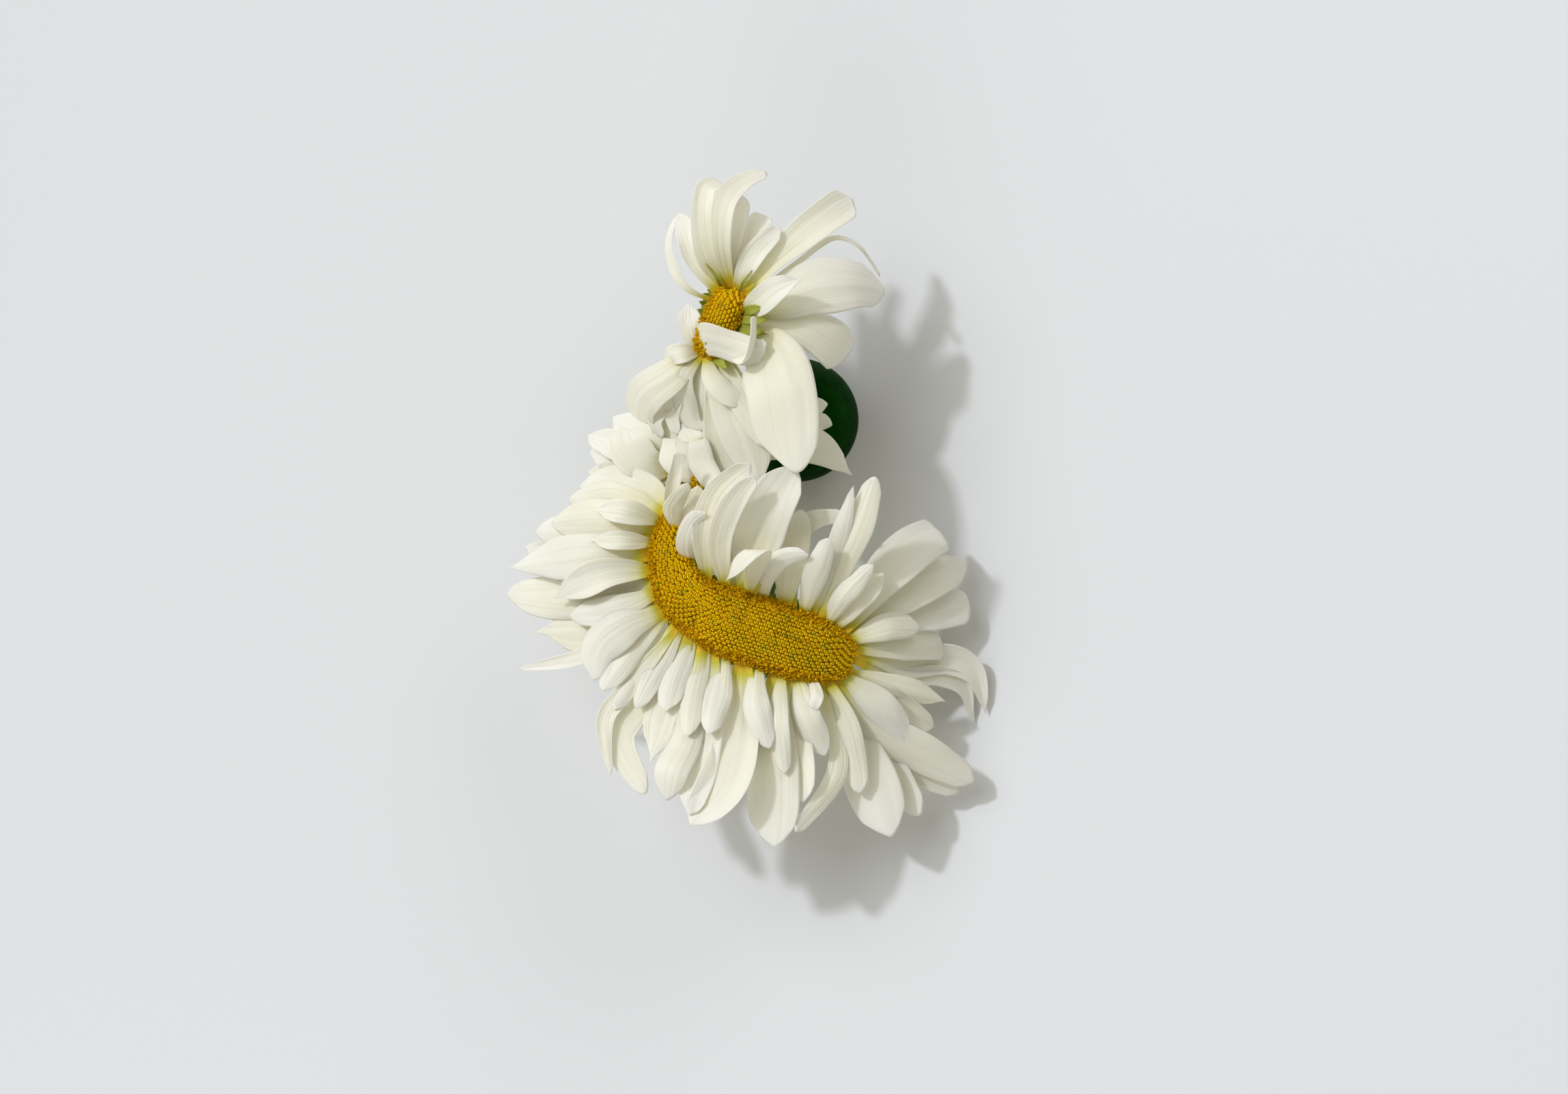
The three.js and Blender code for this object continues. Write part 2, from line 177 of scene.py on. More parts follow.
class Crest:
    """The middle line of a crested disc, with how wide it is on the way."""

    SAMPLES = 161
    RIM_STEPS = 120
    END_SHARPNESS = 5
    FOLD_WIDTH = 0.9
    FOLD_FADE = 0.6

    def __init__(self, points, half_width, taper=1.0, folds=()):
        self.folds = [(np.array(start, float), np.array(end, float)) for start, end in folds]
        self.line = smooth_line([above(point) for point in points], self.SAMPLES)
        self.half_width = half_width
        self.taper = taper
        along = unit(np.gradient(self.line, axis=0))
        self.across = unit(np.stack([-along[:, 1], along[:, 0], 0 * along[:, 0]], axis=1))
        self.length = float(np.linalg.norm(np.diff(self.line, axis=0), axis=1).sum())

    def _at(self, values, share):
        shares = np.linspace(0, 1, self.SAMPLES)
        return np.array([np.interp(share, shares, values[:, axis]) for axis in range(3)])

    def width_at(self, share):
        round_end = math.sqrt(max(0.0, 1 - abs(2 * share - 1) ** self.END_SHARPNESS))
        return self.half_width * round_end * lerp(self.taper, 1, min(1, 2 * share))

    def fullness(self, share):
        return self.width_at(share) / self.half_width

    def point(self, share, across, lift=0.0):
        """A point over the level line across the crest, with across from -1 to 1."""
        side = unit(self._at(self.across, share))
        return self._at(self.line, share) + side * across * self.width_at(share) + np.array([0, 0, lift])

    def fold_at(self, share, across):
        """How deep a fold between two lobes is here, from 0 to 1. It is deepest where it starts."""
        here = self.point(share, across)[:2]
        depth = 0.0
        for start, end in self.folds:
            way = end - start
            reach = min(1.0, max(0.0, np.dot(here - start, way) / np.dot(way, way)))
            gap = np.linalg.norm(here - start - way * reach)
            depth += math.exp(-(gap / self.FOLD_WIDTH) ** 2) * (1 - self.FOLD_FADE * reach)
        return min(1.0, depth)

    def rim_near(self, root):
        """The share along, the side and the point of the rim nearest to a place x, y."""
        best = None
        for step in range(self.RIM_STEPS + 1):
            share = step / self.RIM_STEPS
            for side in (-1, 1):
                point = self.point(share, side)
                distance = math.hypot(point[0] - root[0], point[1] - root[1])
                if best is None or distance < best[0]:
                    best = (distance, share, side, point)
        return best[1:]


# ---- flower layouts
# Heights are over the vase's mouth, in millimetres. The framed rays of a head stand for the frame's rays, in
# the same order, and its loose rays are only pieces.

def ray(width, curl, root, *way, tip="round", roll=0, twist=0, widest=0.6, wave=0.4):
    """A ray by its breadth, its root on the rim and the points on its way, with its tip last. curl lifts its
    edges, and roll and twist turn it about its length, in degrees. It is widest at the share widest."""
    return {"root": root, "way": way, "width": width, "curl": curl, "tip": tip, "roll": roll, "twist": twist,
            "widest": widest, "wave": wave}


def pointed(*row, **more):
    return ray(*row, tip="pointed", **more)


def blunt(*row, **more):
    return ray(*row, tip="blunt", **more)


FRONT_FRAMED = [
    ray(7, -60, (-30, -43), (-32, -37, 15), (-30, -31, 18), (-26.5, -28, 20)),
    ray(8, 45, (-25, -46), (-27, -34, 16), (-23, -22, 20), (-13.5, -13.5, 21)),
    ray(7.5, 45, (-20, -48), (-22.5, -36, 17), (-19, -26, 23), (-12.5, -17, 27)),
    ray(15, 40, (-14, -51), (-12, -36, 12), (-7.5, -25, 17), (-0.5, -14, 17), widest=0.55),
    ray(6.5, -80, (-9.5, -53), (-8.5, -46, 8), (-4, -41.5, 12), (3.5, -40.3, 13)),
    ray(7.5, -70, (2.5, -56), (5.5, -46, 8), (9.5, -35.5, 15)),
    ray(9, -50, (7, -58), (13, -43, 5), (18, -32, 10), (23, -17.5, 13)),
    blunt(13, -15, (13.5, -61), (25, -47, -9), (34, -38.5, -14), (43, -33.5, -25)),
    ray(12, -25, (15, -62), (28, -54, -14), (40, -47.5, -23), (51, -42.5, -34)),
    blunt(12, -30, (16, -63), (32, -58, -20), (52, -55.5, -35)),
    blunt(9, -20, (17, -67), (31, -67, -18), (44, -67.5, -30)),
    pointed(9, 30, (17, -70), (33, -73, -23), (45.5, -71.5, -33), (53, -75.5, -38), (57, -88, -42)),
    pointed(6.5, 30, (17, -73), (30, -76.5, -22), (43, -76.5, -32), (50, -80, -38), (53, -91, -42)),
    pointed(7.5, -60, (15, -76.5), (30, -79.5, -17), (44.5, -84, -28)),
    ray(10.5, -50, (13, -78), (24, -85, -13), (33.5, -96, -21)),
    ray(12, -45, (10, -78.5), (20, -89, -14), (38, -100, -24), (53.5, -108.5, -34)),
    ray(15.5, -20, (7, -78), (18, -98, -17), (28.5, -124, -21), widest=0.75),
    ray(6.5, -30, (3.5, -77.5), (11.5, -92, -9), (12, -105, -10), (-0.5, -121.5, 0), twist=40),
    ray(9, -80, (-0.5, -76), (3, -88, -1), (8.5, -99.5, -6)),
    ray(15.5, -25, (-6, -74.5), (-7, -98, -1), (-6.5, -126, 1), widest=0.72),
    ray(8.5, -85, (-12, -72.5), (-12, -84, 4), (-8, -97, 4)),
    ray(15, 70, (-16, -71), (-17, -90, 1), (-21, -106, 8), (-31, -119, 12), widest=0.66),
    ray(8.5, -85, (-21, -69), (-22.5, -80, 5), (-26, -92.5, 9)),
    ray(7.5, -80, (-26, -67), (-29.5, -79, 5), (-32, -93, 9)),
    ray(8.5, -70, (-30.5, -64.5), (-35, -74, 5), (-38.5, -86, 7)),
    pointed(11, -20, (-33, -63), (-38, -84, 4), (-43, -101, 8)),
    ray(7.5, -90, (-36, -61), (-44, -72, 4), (-53.5, -85.5, 7)),
    ray(12, -60, (-39, -57), (-50, -61, 10), (-58, -68, 8), (-59.5, -77, 6)),
    pointed(12, -20, (-41, -53), (-57, -62, 2), (-77, -63, -4)),
    ray(12.5, -25, (-42, -49), (-60, -53, 3), (-85.5, -52, -5)),
    pointed(9.5, 55, (-42.5, -45), (-56, -45.5, 12), (-71.5, -53, 5)),
    pointed(12.5, -30, (-42.5, -40), (-58, -39.8, 12), (-84.8, -44, -2), widest=0.5),
    ray(11, -30, (-41, -32), (-54, -29.5, 12), (-72, -31, 2)),
]
FRONT_LOOSE = [
    blunt(4.2, 60, (-36, -30), (-37, -24, 16), (-34, -10.5, 22)),
    ray(6, -70, (-34, -34), (-36, -27, 16), (-31.5, -19.5, 21)),
    ray(6.5, -60, (-31.5, -38), (-31.5, -29, 12), (-28.8, -20, 16)),
    ray(7, 30, (-18, -48), (-18, -36, 8), (-14, -24.5, 10)),
    pointed(7, -35, (-14, -50.5), (-12.5, -45, 11), (-10.8, -39.3, 16), (-13.2, -40, 19), (-17, -43.4, 17),
        (-20.8, -48, 12), widest=0.7),
    ray(10, -30, (-3, -54), (-2, -42, 3), (1, -27, 8)),
    ray(6.5, -30, (0, -54), (-1, -36, 1), (5, -30, 4), (14.3, -28.8, 6)),
    pointed(6, -50, (5, -57), (12, -37, 8), (16.5, -20, 15)),
    ray(7, -80, (9, -59), (14, -52, 2), (22.5, -43.2, 4)),
    ray(8, -75, (11.5, -60), (18, -53, -2), (25.5, -45.5, -3)),
    ray(8.5, -60, (17, -63.5), (27, -61.5, -10), (36.5, -61.5, -18)),
    ray(7, 30, (15, -78), (30, -84, -19), (41, -92, -28)),
    ray(7.5, 30, (11, -80), (28, -101, -25), (49, -111.5, -36)),
    ray(7.5, -60, (9, -79), (15, -91, -9), (19, -111, -15)),
    ray(10, -30, (11, -80), (28, -104, -24), (37, -118, -27)),
    blunt(4.5, -90, (4, -78), (5.5, -82, -1), (3.5, -86.5, -2)),
    ray(9, 30, (-2, -76), (0, -95, -4), (2, -113, -2)),
    ray(6.5, -70, (-5, -75), (-5.5, -90, 3), (-3.5, -104.5, 1)),
    ray(5, -70, (-23, -68.5), (-24.5, -74, 1), (-25.5, -81, 4)),
    ray(11, -80, (-28, -66), (-32, -94, 7), (-36.5, -103, 13), (-38, -112, 11), widest=0.8),
    ray(11, 30, (-25, -68), (-27.5, -95, 5), (-31.5, -116, 12)),
    ray(9, 40, (-14, -72), (-14, -92, -2), (-24.5, -117, 9)),
    ray(6.5, -60, (-34, -62.5), (-41, -74, 5), (-47, -85, 7)),
    ray(8.5, -70, (-38, -58), (-47, -66, 7), (-57, -80, 7)),
    pointed(5.5, 30, (-35, -62), (-50, -80, 5), (-56, -88, 7), (-54.5, -105, 10)),
    ray(9, -40, (-34, -63), (-46, -84, 3), (-52, -94, 5), (-44, -110, 8)),
    pointed(4.5, 30, (-40, -56), (-60, -69, 3), (-82.5, -74, -3)),
    ray(8.5, -30, (-42, -52), (-53, -56, 9), (-66.5, -58, 4)),
    ray(8, -30, (-42, -49), (-54, -51, 5), (-67, -53.5, 2)),
    ray(9, -40, (-43, -43), (-56, -43, 6), (-72, -47, 1)),
    pointed(5.5, 30, (-42, -37), (-51, -36, 15), (-60.5, -36, 12)),
    ray(11, -30, (-42, -35), (-57, -33.5, 7), (-77, -33.5, -3)),
    pointed(7, 30, (-40, -30), (-50, -27.5, 17), (-59.5, -27.2, 13)),
    ray(9, -40, (-39, -28.5), (-52, -23.5, 9), (-67, -24.5, 1)),
    ray(10, -40, (-36, -27), (-43, -21, 8), (-52, -19, 6), (-64, -20, 0)),
    ray(9, 30, (-43, -41), (-58, -44, 1), (-80, -38, -5)),
    ray(10, 30, (-42, -51), (-60, -58, -2), (-74, -57, -6)),
]

BACK_FRAMED = [
    ray(6.5, 60, (-24, 37), (-28.5, 44, 20), (-31.5, 51, 21), (-34, 59.5, 17)),
    ray(7, 50, (-21, 38), (-26, 47, 24), (-27.5, 59, 27), (-26, 66.5, 24), (-20.5, 66.5, 20), widest=0.4),
    ray(6.5, 40, (-19, 38), (-22, 50, 26), (-21, 62, 27), (-16, 68, 22), (-9, 71.5, 16)),
    ray(6.5, 50, (-17, 37), (-15.5, 42, 20), (-12, 48, 20), (-5, 55, 16)),
    ray(10.5, 50, (-15, 34), (-10, 42.5, 18), (0, 52, 13), (10, 60, 5), (16.5, 64.5, -4), widest=0.82),
    ray(16, -35, (-15, 31), (-4, 34.5, 16), (5.5, 38, 14), (16, 39.2, 8), (26, 38, -4), widest=0.5),
    pointed(8, 40, (-16, 29.5), (-11, 33, 22), (-6, 37, 25), (1.8, 39.8, 26), widest=0.5),
    blunt(13.5, -40, (-17, 26), (-7, 27.5, 15), (3, 25.9, 13), (9.6, 22.7, 9), (15, 17.5, 2), widest=0.9),
    ray(20.5, -30, (-19, 23), (-9, 19, 20), (-5, 8.4, 23), (-3, -4, 22), (-0.5, -16.5, 21), roll=16,
        widest=0.5, wave=0.7),
    pointed(15, -20, (-21, 18), (-20, 8.4, 13), (-15.3, -4.5, 12), (-10, -22, 8), widest=0.5),
    ray(6, 40, (-28, 15), (-28.5, 7, 11), (-28, -1, 5)),
    blunt(11.5, -30, (-31, 18), (-37, 12, 15), (-43.5, 7.5, 12), (-46.5, 3, 6), (-46, -4, -2), widest=0.45),
]
BACK_LOOSE = [
    ray(4.5, 30, (-25, 34), (-32, 37.5, 19), (-37.5, 48, 17), (-34.5, 59.5, 14), roll=55),
    ray(8, 70, (-20, 38), (-20.5, 47, 20), (-18.5, 57, 21), (-16, 64.5, 18), widest=0.75),
    blunt(7, 30, (-20, 39), (-14, 52, 18), (-9.5, 59, 14)),
    ray(6, 30, (-18, 38), (-17, 47, 14), (-13, 54, 14), (-8, 56, 12)),
    ray(3, 30, (-13, 33), (0, 45, 8), (11, 53, 4), (18, 50.5, 0), (24.5, 42, -8), roll=50),
    blunt(7, -50, (-27, 17.5), (-24.5, 11, 17), (-20, 7, 17), (-13, 5, 15)),
    blunt(9.5, -30, (-30, 22), (-27, 22.5, 20), (-20, 20.5, 22), (-14, 18.5, 23), (-9, 18, 23), widest=0.3),
    blunt(7.5, 40, (-17, 22), (-14, 17.5, 24), (-12.7, 22, 26), (-12, 28.5, 25), widest=0.4),
    ray(6.5, 30, (-28, 20), (-31, 26, 15), (-31.5, 33, 14)),
    ray(6, 30, (-30, 18), (-34, 18.5, 16), (-39, 17.5, 12)),
    ray(7, -60, (-29, 16), (-33, 11.5, 15), (-32.5, 3, 10), (-30, -2.5, 7), (-26.5, -3.5, 7)),
    ray(5, 50, (-29, 15), (-35.5, 6, 10), (-36.5, 0, 7), (-35, -5, 6)),
    ray(9, 30, (-29, 14), (-34, 7, 6), (-37.5, 0, 3), (-36.5, -8, 2)),
    ray(5, 50, (-30, 14), (-38, 5, 8), (-41.5, -1, 5), (-39.5, -6, 4)),
    ray(8, -30, (-20, 17), (-18, 8, 16), (-7, -9.5, 14)),
    ray(9, 30, (-22, 16), (-23.5, 4, 10), (-22, -10, 6), (-17, -24, 3)),
]
BACK_TUFT = [
    pointed(2.8, 30, (-17, 30), (-13.5, 31, 21), (-9.5, 31.5, 22)),
    pointed(2.8, 30, (-17, 28), (-13, 28, 21), (-8.5, 28, 21)),
    pointed(2.8, 30, (-18, 26), (-13, 25, 20), (-8.5, 24, 19.5)),
    pointed(2.6, 30, (-18, 25), (-13.5, 22.5, 21), (-10, 20, 22)),
    pointed(2.6, 30, (-24, 19), (-22.5, 16, 19), (-20, 13.5, 20)),
    pointed(0.9, 30, (-22, 37), (-23.5, 40.5, 22), (-26.5, 44.5, 23.5)),
    pointed(0.9, 30, (-17, 36), (-15.5, 39, 21), (-13, 42.5, 21)),
]

LEFT_FRAMED = [
    ray(10.5, -30, (-37, -12), (-44, -6, 4), (-54, 0.5, -1)),
    ray(12, 55, (-37, -15), (-44, -13.5, 5), (-50, -8, 5), (-51.5, -2.5, 3)),
    ray(8, 30, (-36, -19), (-48, -18, 1), (-61.5, -15.5, -5)),
    pointed(10.5, -20, (-26, -13), (-8, -7.5, 4), (5, -8.5, 7), (16.5, -17, 3)),
    ray(8, 30, (-28, -9), (-14, -1, 3), (2, 2.5, 6), (9, 4, 5)),
]
LEFT_LOOSE = [
    ray(8.5, 30, (-37, -13), (-50, -9, 2), (-61.5, -5, -3)),
    ray(7.5, 30, (-27, -9), (-29, -7, 8), (-28, -13, 9), (-22.5, -21.5, 11)),
    ray(10.5, -30, (-26.5, -16), (-29, -15, 7), (-33.5, -13, 9), (-39, -6, 7)),
    ray(9, 30, (-27, -11), (-31, -8, 7), (-34, -3, 6)),
    ray(8, 30, (-38, -14), (-50, -13, -1), (-61, -10, -5)),
    ray(7.5, 30, (-28, -9), (-14, -4, 2), (4, -1, 5), (10.3, -2.3, 4)),
    ray(8, 30, (-37, -16), (-44, -19, 2), (-56, -20.5, -4)),
]
FRONT_CREST = Crest([
    (-37, -28, 10), (-37.5, -40, 9), (-33, -52, 7), (-22, -59, 4), (-9, -63.5, 0), (4, -68, -5),
    (17, -71.5, -9),
], 9.6, 0.45, folds=[((-13, -52), (-16, -59.5)), ((-6, -63.2), (6, -66.8)), ((-30, -61), (-29, -56))])
BACK_CREST = Crest([(-19, 37, 17), (-21.5, 30, 17), (-25, 22, 15), (-26.5, 18, 14)], 4.8)
LEFT_CREST = Crest([(-33, -9, 2), (-31, -16, 2), (-28.5, -23, 1)], 5)

HEADS = (
    {"name": "front_head", "crest": FRONT_CREST, "framed": FRONT_FRAMED, "loose": FRONT_LOOSE, "tuft": []},
    {"name": "back_head", "crest": BACK_CREST, "framed": BACK_FRAMED, "loose": BACK_LOOSE, "tuft": BACK_TUFT},
    {"name": "left_head", "crest": LEFT_CREST, "framed": LEFT_FRAMED, "loose": LEFT_LOOSE, "tuft": []},
)


# ---- mesh making

def add_mesh(name, vertices, faces, coordinates=None):
    """A smooth mesh object from points in millimetres. coordinates is one vector for each point,
    kept as the attribute that the materials read."""
    mesh = bpy.data.meshes.new(name)
    mesh.from_pydata((np.asarray(vertices) * MM).tolist(), [], faces)
    mesh.polygons.foreach_set("use_smooth", [True] * len(mesh.polygons))
    if coordinates is not None:
        attribute = mesh.attributes.new("grain", "FLOAT_VECTOR", "POINT")
        attribute.data.foreach_set("vector", np.asarray(coordinates, np.float32).ravel())
    mesh.validate()
    mesh.update()
    piece = bpy.data.objects.new(name, mesh)
    bpy.context.scene.collection.objects.link(piece)
    return piece


def place(piece, slot, material, *nodes):
    """Gives a piece its finish and body, and hides the frame's nodes that it stands for."""
    piece.data.materials.append(material)
    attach(piece, BODY)
    if nodes:
        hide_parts(*nodes)


def lattice(rows, columns, start=0, closed=False, flip=False):
    """Quads over rows of points. A closed one joins the ends of each row, as a tube does."""
    faces = []
    for first in range(start, start + (rows - 1) * columns, columns):
        for column in range(columns if closed else columns - 1):
            a, b = first + column, first + (column + 1) % columns
            corners = (a, b, b + columns, a + columns)
            faces.append(corners[::-1] if flip else corners)
    return faces


def sheet_faces(rows, columns):
    """The faces of a closed thin blade: an upper grid, a lower grid and the edge between them."""
    size = rows * columns
    faces = lattice(rows, columns) + lattice(rows, columns, size, flip=True)
    edge = [(0, column) for column in range(columns)]
    edge += [(row, columns - 1) for row in range(1, rows)]
    edge += [(rows - 1, column) for column in range(columns - 2, -1, -1)]
    edge += [(row, 0) for row in range(rows - 2, 0, -1)]
    ring = [row * columns + column for row, column in edge]
    for first, second in zip(ring, ring[1:] + ring[:1]):
        faces.append((second, first, first + size, second + size))
    return faces


def capped_tube(rings, around):
    top = (rings - 1) * around
    ends = [tuple(reversed(range(around))), tuple(top + step for step in range(around))]
    return lattice(rings, around, closed=True) + ends


def turns(steps):
    """Evenly spaced angles round a circle."""
    return [2 * math.pi * step / steps for step in range(steps)]


def oval(turn, half_length, half_width, height):
    return half_length * math.cos(turn), half_width * math.sin(turn), height


# ---- rays

TIPS = {
    # How wide the blade still is at its tip, how far its corners round back, and how sharply.
    "round": (0.66, 0.85, 2.0),
    "blunt": (0.90, 0.35, 3.5),
    "pointed": (0.28, 1.1, 1.3),
}
RAY_GRID = (44, 21)
RAY_BASE = 0.3
ROOT_INSET, ROOT_OUT, ROOT_DROP, ROOT_PULL = 0.86, 0.2, 1.1, 0.4
LINE_SAMPLES = 60
GROOVE_WIDTH = 0.11
RIB_WIDTH = 0.22
DENTS, DENT_DEPTH = 3, 0.16
EDGE_THICKNESS = 0.35
FLATTEST = 0.02


def carried_frames(line, roll, twist):
    """The directions across and out of a blade along its line, without needless spin."""
    tangents = unit(np.gradient(line, axis=0))
    side = unit(np.array([tangents[0][1], -tangents[0][0], 0.0]))
    sides = []
    for tangent in tangents:
        side = unit(side - tangent * np.dot(side, tangent))
        sides.append(side)
    sides = np.array(sides)
    ups = np.cross(sides, tangents)
    turn = np.radians(roll + twist * np.linspace(0, 1, len(line)))[:, None]
    return np.cos(turn) * sides + np.sin(turn) * ups, np.cos(turn) * ups - np.sin(turn) * sides


def outline_reach(across, ratio, tip, chance):
    """How far each lengthwise line of a blade reaches, for a tip that rounds off to its sides."""
    _, tip_round, tip_power = TIPS[tip]
    lobes = chance.uniform(0.0, 0.1) * (np.cos(across * math.pi * 2.6 + chance.uniform(-0.5, 0.5)) - 1)
    skew = chance.uniform(-0.25, 0.25) * across
    reach = 1 - ratio * 0.5 * (tip_round * np.abs(across) ** tip_power - 0.5 * lobes + skew)
    return reach / reach.max()


def half_breadth(t, width, shape, base_share, chance):
    """Half the breadth of a blade along its length, which opens to its widest place and closes to its tip."""
    tip_width = TIPS[shape["tip"]][0]
    widest = shape["widest"]
    opening = lerp(base_share, 1, np.sin(math.pi / 2 * np.clip(t / widest, 0, 1)) ** 1.2)
    closing = lerp(1, tip_width, smoothstep(widest, 1, t) ** 1.5)
    ripple = 1 + 0.03 * np.sin(2 * math.pi * (t * chance.uniform(1.5, 2.6) + chance.random()))
    return width / 2 * np.where(t < widest, opening, closing) * ripple


def relief(t, v, groove, wave, chance):
    """The height of a blade's long grooves, soft dents and wavy edges over its smooth section."""
    fade = smoothstep(0.02, 0.22, t) * (1 - 0.6 * smoothstep(0.75, 1, t))
    y = np.zeros_like(t)
    for centre in (chance.uniform(-0.55, -0.2), chance.uniform(0.2, 0.55)):
        wander = centre + 0.08 * np.sin(2 * math.pi * (t * 0.7 + chance.random()))
        y -= groove * chance.uniform(0.5, 1.6) * fade * np.exp(-np.abs((v - wander) / GROOVE_WIDTH) ** 1.5)
    y -= chance.uniform(-1.4, 1.4) * groove * fade * np.exp(-np.abs(v / RIB_WIDTH) ** 1.5)
    for _ in range(DENTS):
        phase = 2 * math.pi * chance.random()
        y += DENT_DEPTH * wave * np.sin(t * chance.uniform(5, 13) + v * chance.uniform(-3, 3) + phase) * fade
    for edge in (-1, 1):
        ruffle = np.sin(2 * math.pi * (t * chance.uniform(1.0, 2.3) + chance.random()))
        y += np.where(v * edge > 0, wave * ruffle, 0) * v ** 2 * smoothstep(0.15, 0.7, t)
    return y


def blade(line, width, shape, thickness, groove, seed, base_share=RAY_BASE, grid=RAY_GRID):
    """Vertices and coordinates of a thin blade along a line: length, breadth and a number of its own."""
    rows, columns = grid
    chance = random.Random(seed)
    shares = np.linspace(0, 1, len(line))
    length = float(np.linalg.norm(np.diff(line, axis=0), axis=1).sum())
    sides, ups = carried_frames(line, shape["roll"], shape["twist"])
    across = np.linspace(-1, 1, columns)
    reach = outline_reach(across, width / length, shape["tip"], chance)
    t = np.linspace(0, 1, rows)[:, None] ** 0.92 * reach[None, :]
    v = across[None, :] * np.ones_like(t)
    half = half_breadth(t, width, shape, base_share, chance)
    bend = np.radians(shape["curl"]) / 2 * (1 + chance.uniform(-0.35, 0.35) * v) * (0.7 + 0.3 * t)
    bend = np.where(np.abs(bend) < FLATTEST, FLATTEST, bend)
    x = half * np.sin(v * bend) / bend
    groove *= max(0.6, width / 10)
    y = half * (1 - np.cos(v * bend)) / bend + relief(t, v, groove, shape["wave"], chance)

    def on_line(values):
        return np.stack([np.interp(t, shares, values[:, axis]) for axis in range(3)], axis=-1)

    upper = on_line(line) + x[..., None] * on_line(sides) + y[..., None] * on_line(ups)
    normal = unit(np.cross(np.gradient(upper, axis=1), np.gradient(upper, axis=0)))
    if np.sum(normal * on_line(ups)) < 0:
        normal = -normal
    fullness = EDGE_THICKNESS + (1 - EDGE_THICKNESS) * (1 - v ** 4)
    depth = thickness * fullness * (1 - 0.5 * smoothstep(0.85, 1, t))
    lower = upper - normal * depth[..., None]
    grain = np.stack([t, v * 0.5 + 0.5, np.full_like(t, chance.random())], axis=-1).reshape(-1, 3)
    return np.vstack([upper.reshape(-1, 3), lower.reshape(-1, 3)]), np.vstack([grain, grain])


def ray_line(crest, root, way):
    """The line of a ray, from under the rim of its disc to its tip."""
    share, side, rim = crest.rim_near(root)
    inner = crest.point(share, side * ROOT_INSET)
    start = lerp(inner, rim, ROOT_OUT) + np.array([0, 0, -ROOT_DROP])
    ends = [above(point) for point in way]
    start = start + unit(rim - ends[0]) * ROOT_PULL
    return smooth_line([start, *ends], LINE_SAMPLES)


def make_rays(head, settings, material):
    name, framed = head["name"], len(head["framed"])
    for index, shape in enumerate(head["framed"] + head["loose"]):
        line = ray_line(head["crest"], shape["root"], shape["way"])
        vertices, grain = blade(line, shape["width"] * settings.breadth, shape, settings.thickness,
                                settings.groove, f"{name} ray {index}")
        piece = add_mesh(f"{name}_ray_{index + 1:02d}", vertices, sheet_faces(*RAY_GRID), grain)
        nodes = [f"{name}_petal_{index + 1:02d}"] if index < framed else []
        place(piece, "petal_white", material, *nodes)


# ---- discs

DISC_EDGE = 0.8
DISC_SHARE = 0.97
FLORET_SINK = 0.4
PAD_COLUMNS = 17
CROWDING = 1.1
BUD_SIDES, BUD_RINGS, BUD_FOOT = 10, 4, 0.36
FLORET_LOBES = 5
OPEN_PER_MM = 11
CRUMBS = 4
OPENED = 2


def dome(crest, settings, share, across):
    """How far the disc stands over the crest's middle line."""
    fold = crest.fold_at(share, across) * settings.fold
    return (settings.rise * (1 - across ** 2) + DISC_EDGE) * crest.fullness(share) - fold


def make_pad(head, part, rows, breadth, high, low, grain):
    """A closed pad along a crest. high and low give the heights of its faces from the share and the place
    across."""
    upper, lower = [], []
    for row in range(rows):
        share = 0.5 - 0.5 * math.cos(math.pi * lerp(0.02, 0.98, row / (rows - 1)))
        for column in range(PAD_COLUMNS):
            across = 2 * column / (PAD_COLUMNS - 1) - 1
            for face, height in ((upper, high), (lower, low)):
                face.append(head["crest"].point(share, across * breadth, height(share, across)))
    points = upper + lower
    return add_mesh(f"{head['name']}_{part}", points, sheet_faces(rows, PAD_COLUMNS), [grain] * len(points))


def make_disc(head, settings):
    """The bare cushion under the florets."""
    # Its height 0 gives it the darkest painted shade of the floret material, as shade between the florets
    return make_pad(head, "cushion", 60, DISC_SHARE,
                    lambda share, across: dome(head["crest"], settings, share, across) - FLORET_SINK,
                    lambda share, across: -DISC_EDGE, (0.3, 0.3, 0.0))


def bud(length, width, height):
    """A closed floret: a low pillow with its middle at the origin, and how high each point is on it."""
    points, heights = [(0, 0, height)], [1.0]
    for ring in range(1, BUD_RINGS + 1):
        angle = math.pi / 2 * ring / BUD_RINGS
        swell = math.sin(angle) ** 0.65
        for turn in turns(BUD_SIDES):
            square = (abs(math.cos(turn)) ** 3 + abs(math.sin(turn)) ** 3) ** (-1 / 3)
            points.append(oval(turn, length / 2 * swell * square, width / 2 * swell * square,
                               height * math.cos(angle)))
            heights.append(math.cos(angle))
    for turn in turns(BUD_SIDES):
        points.append(oval(turn, length * BUD_FOOT, width * BUD_FOOT, -height * 0.9))
        heights.append(0.0)
    faces = [(0, 1 + step, 1 + (step + 1) % BUD_SIDES) for step in range(BUD_SIDES)]
    faces += lattice(BUD_RINGS + 1, BUD_SIDES, 1, closed=True)
    base = 1 + BUD_RINGS * BUD_SIDES
    faces.append(tuple(base + step for step in reversed(range(BUD_SIDES))))
    return np.array(points, float), faces, heights


def open_floret(radius, height):
    """An open floret: a short tube that flares into pointed lobes, closed at its foot and throat."""
    around = FLORET_LOBES * 2
    profile = ((0.35, -0.8), (0.45, 0.1), (1.0, 0.75), (0.92, 0.62), (0.3, 0.2))
    points, heights = [], []
    for ring, (out, up) in enumerate(profile):
        for step, turn in enumerate(turns(around)):
            star = (1.18 if step % 2 == 0 else 0.62) if ring in (2, 3) else 1
            points.append(oval(turn, radius * out * star, radius * out * star, height * up))
            heights.append(min(1.0, max(0.0, 0.4 + up)))
    return np.array(points, float), capped_tube(len(profile), around), heights


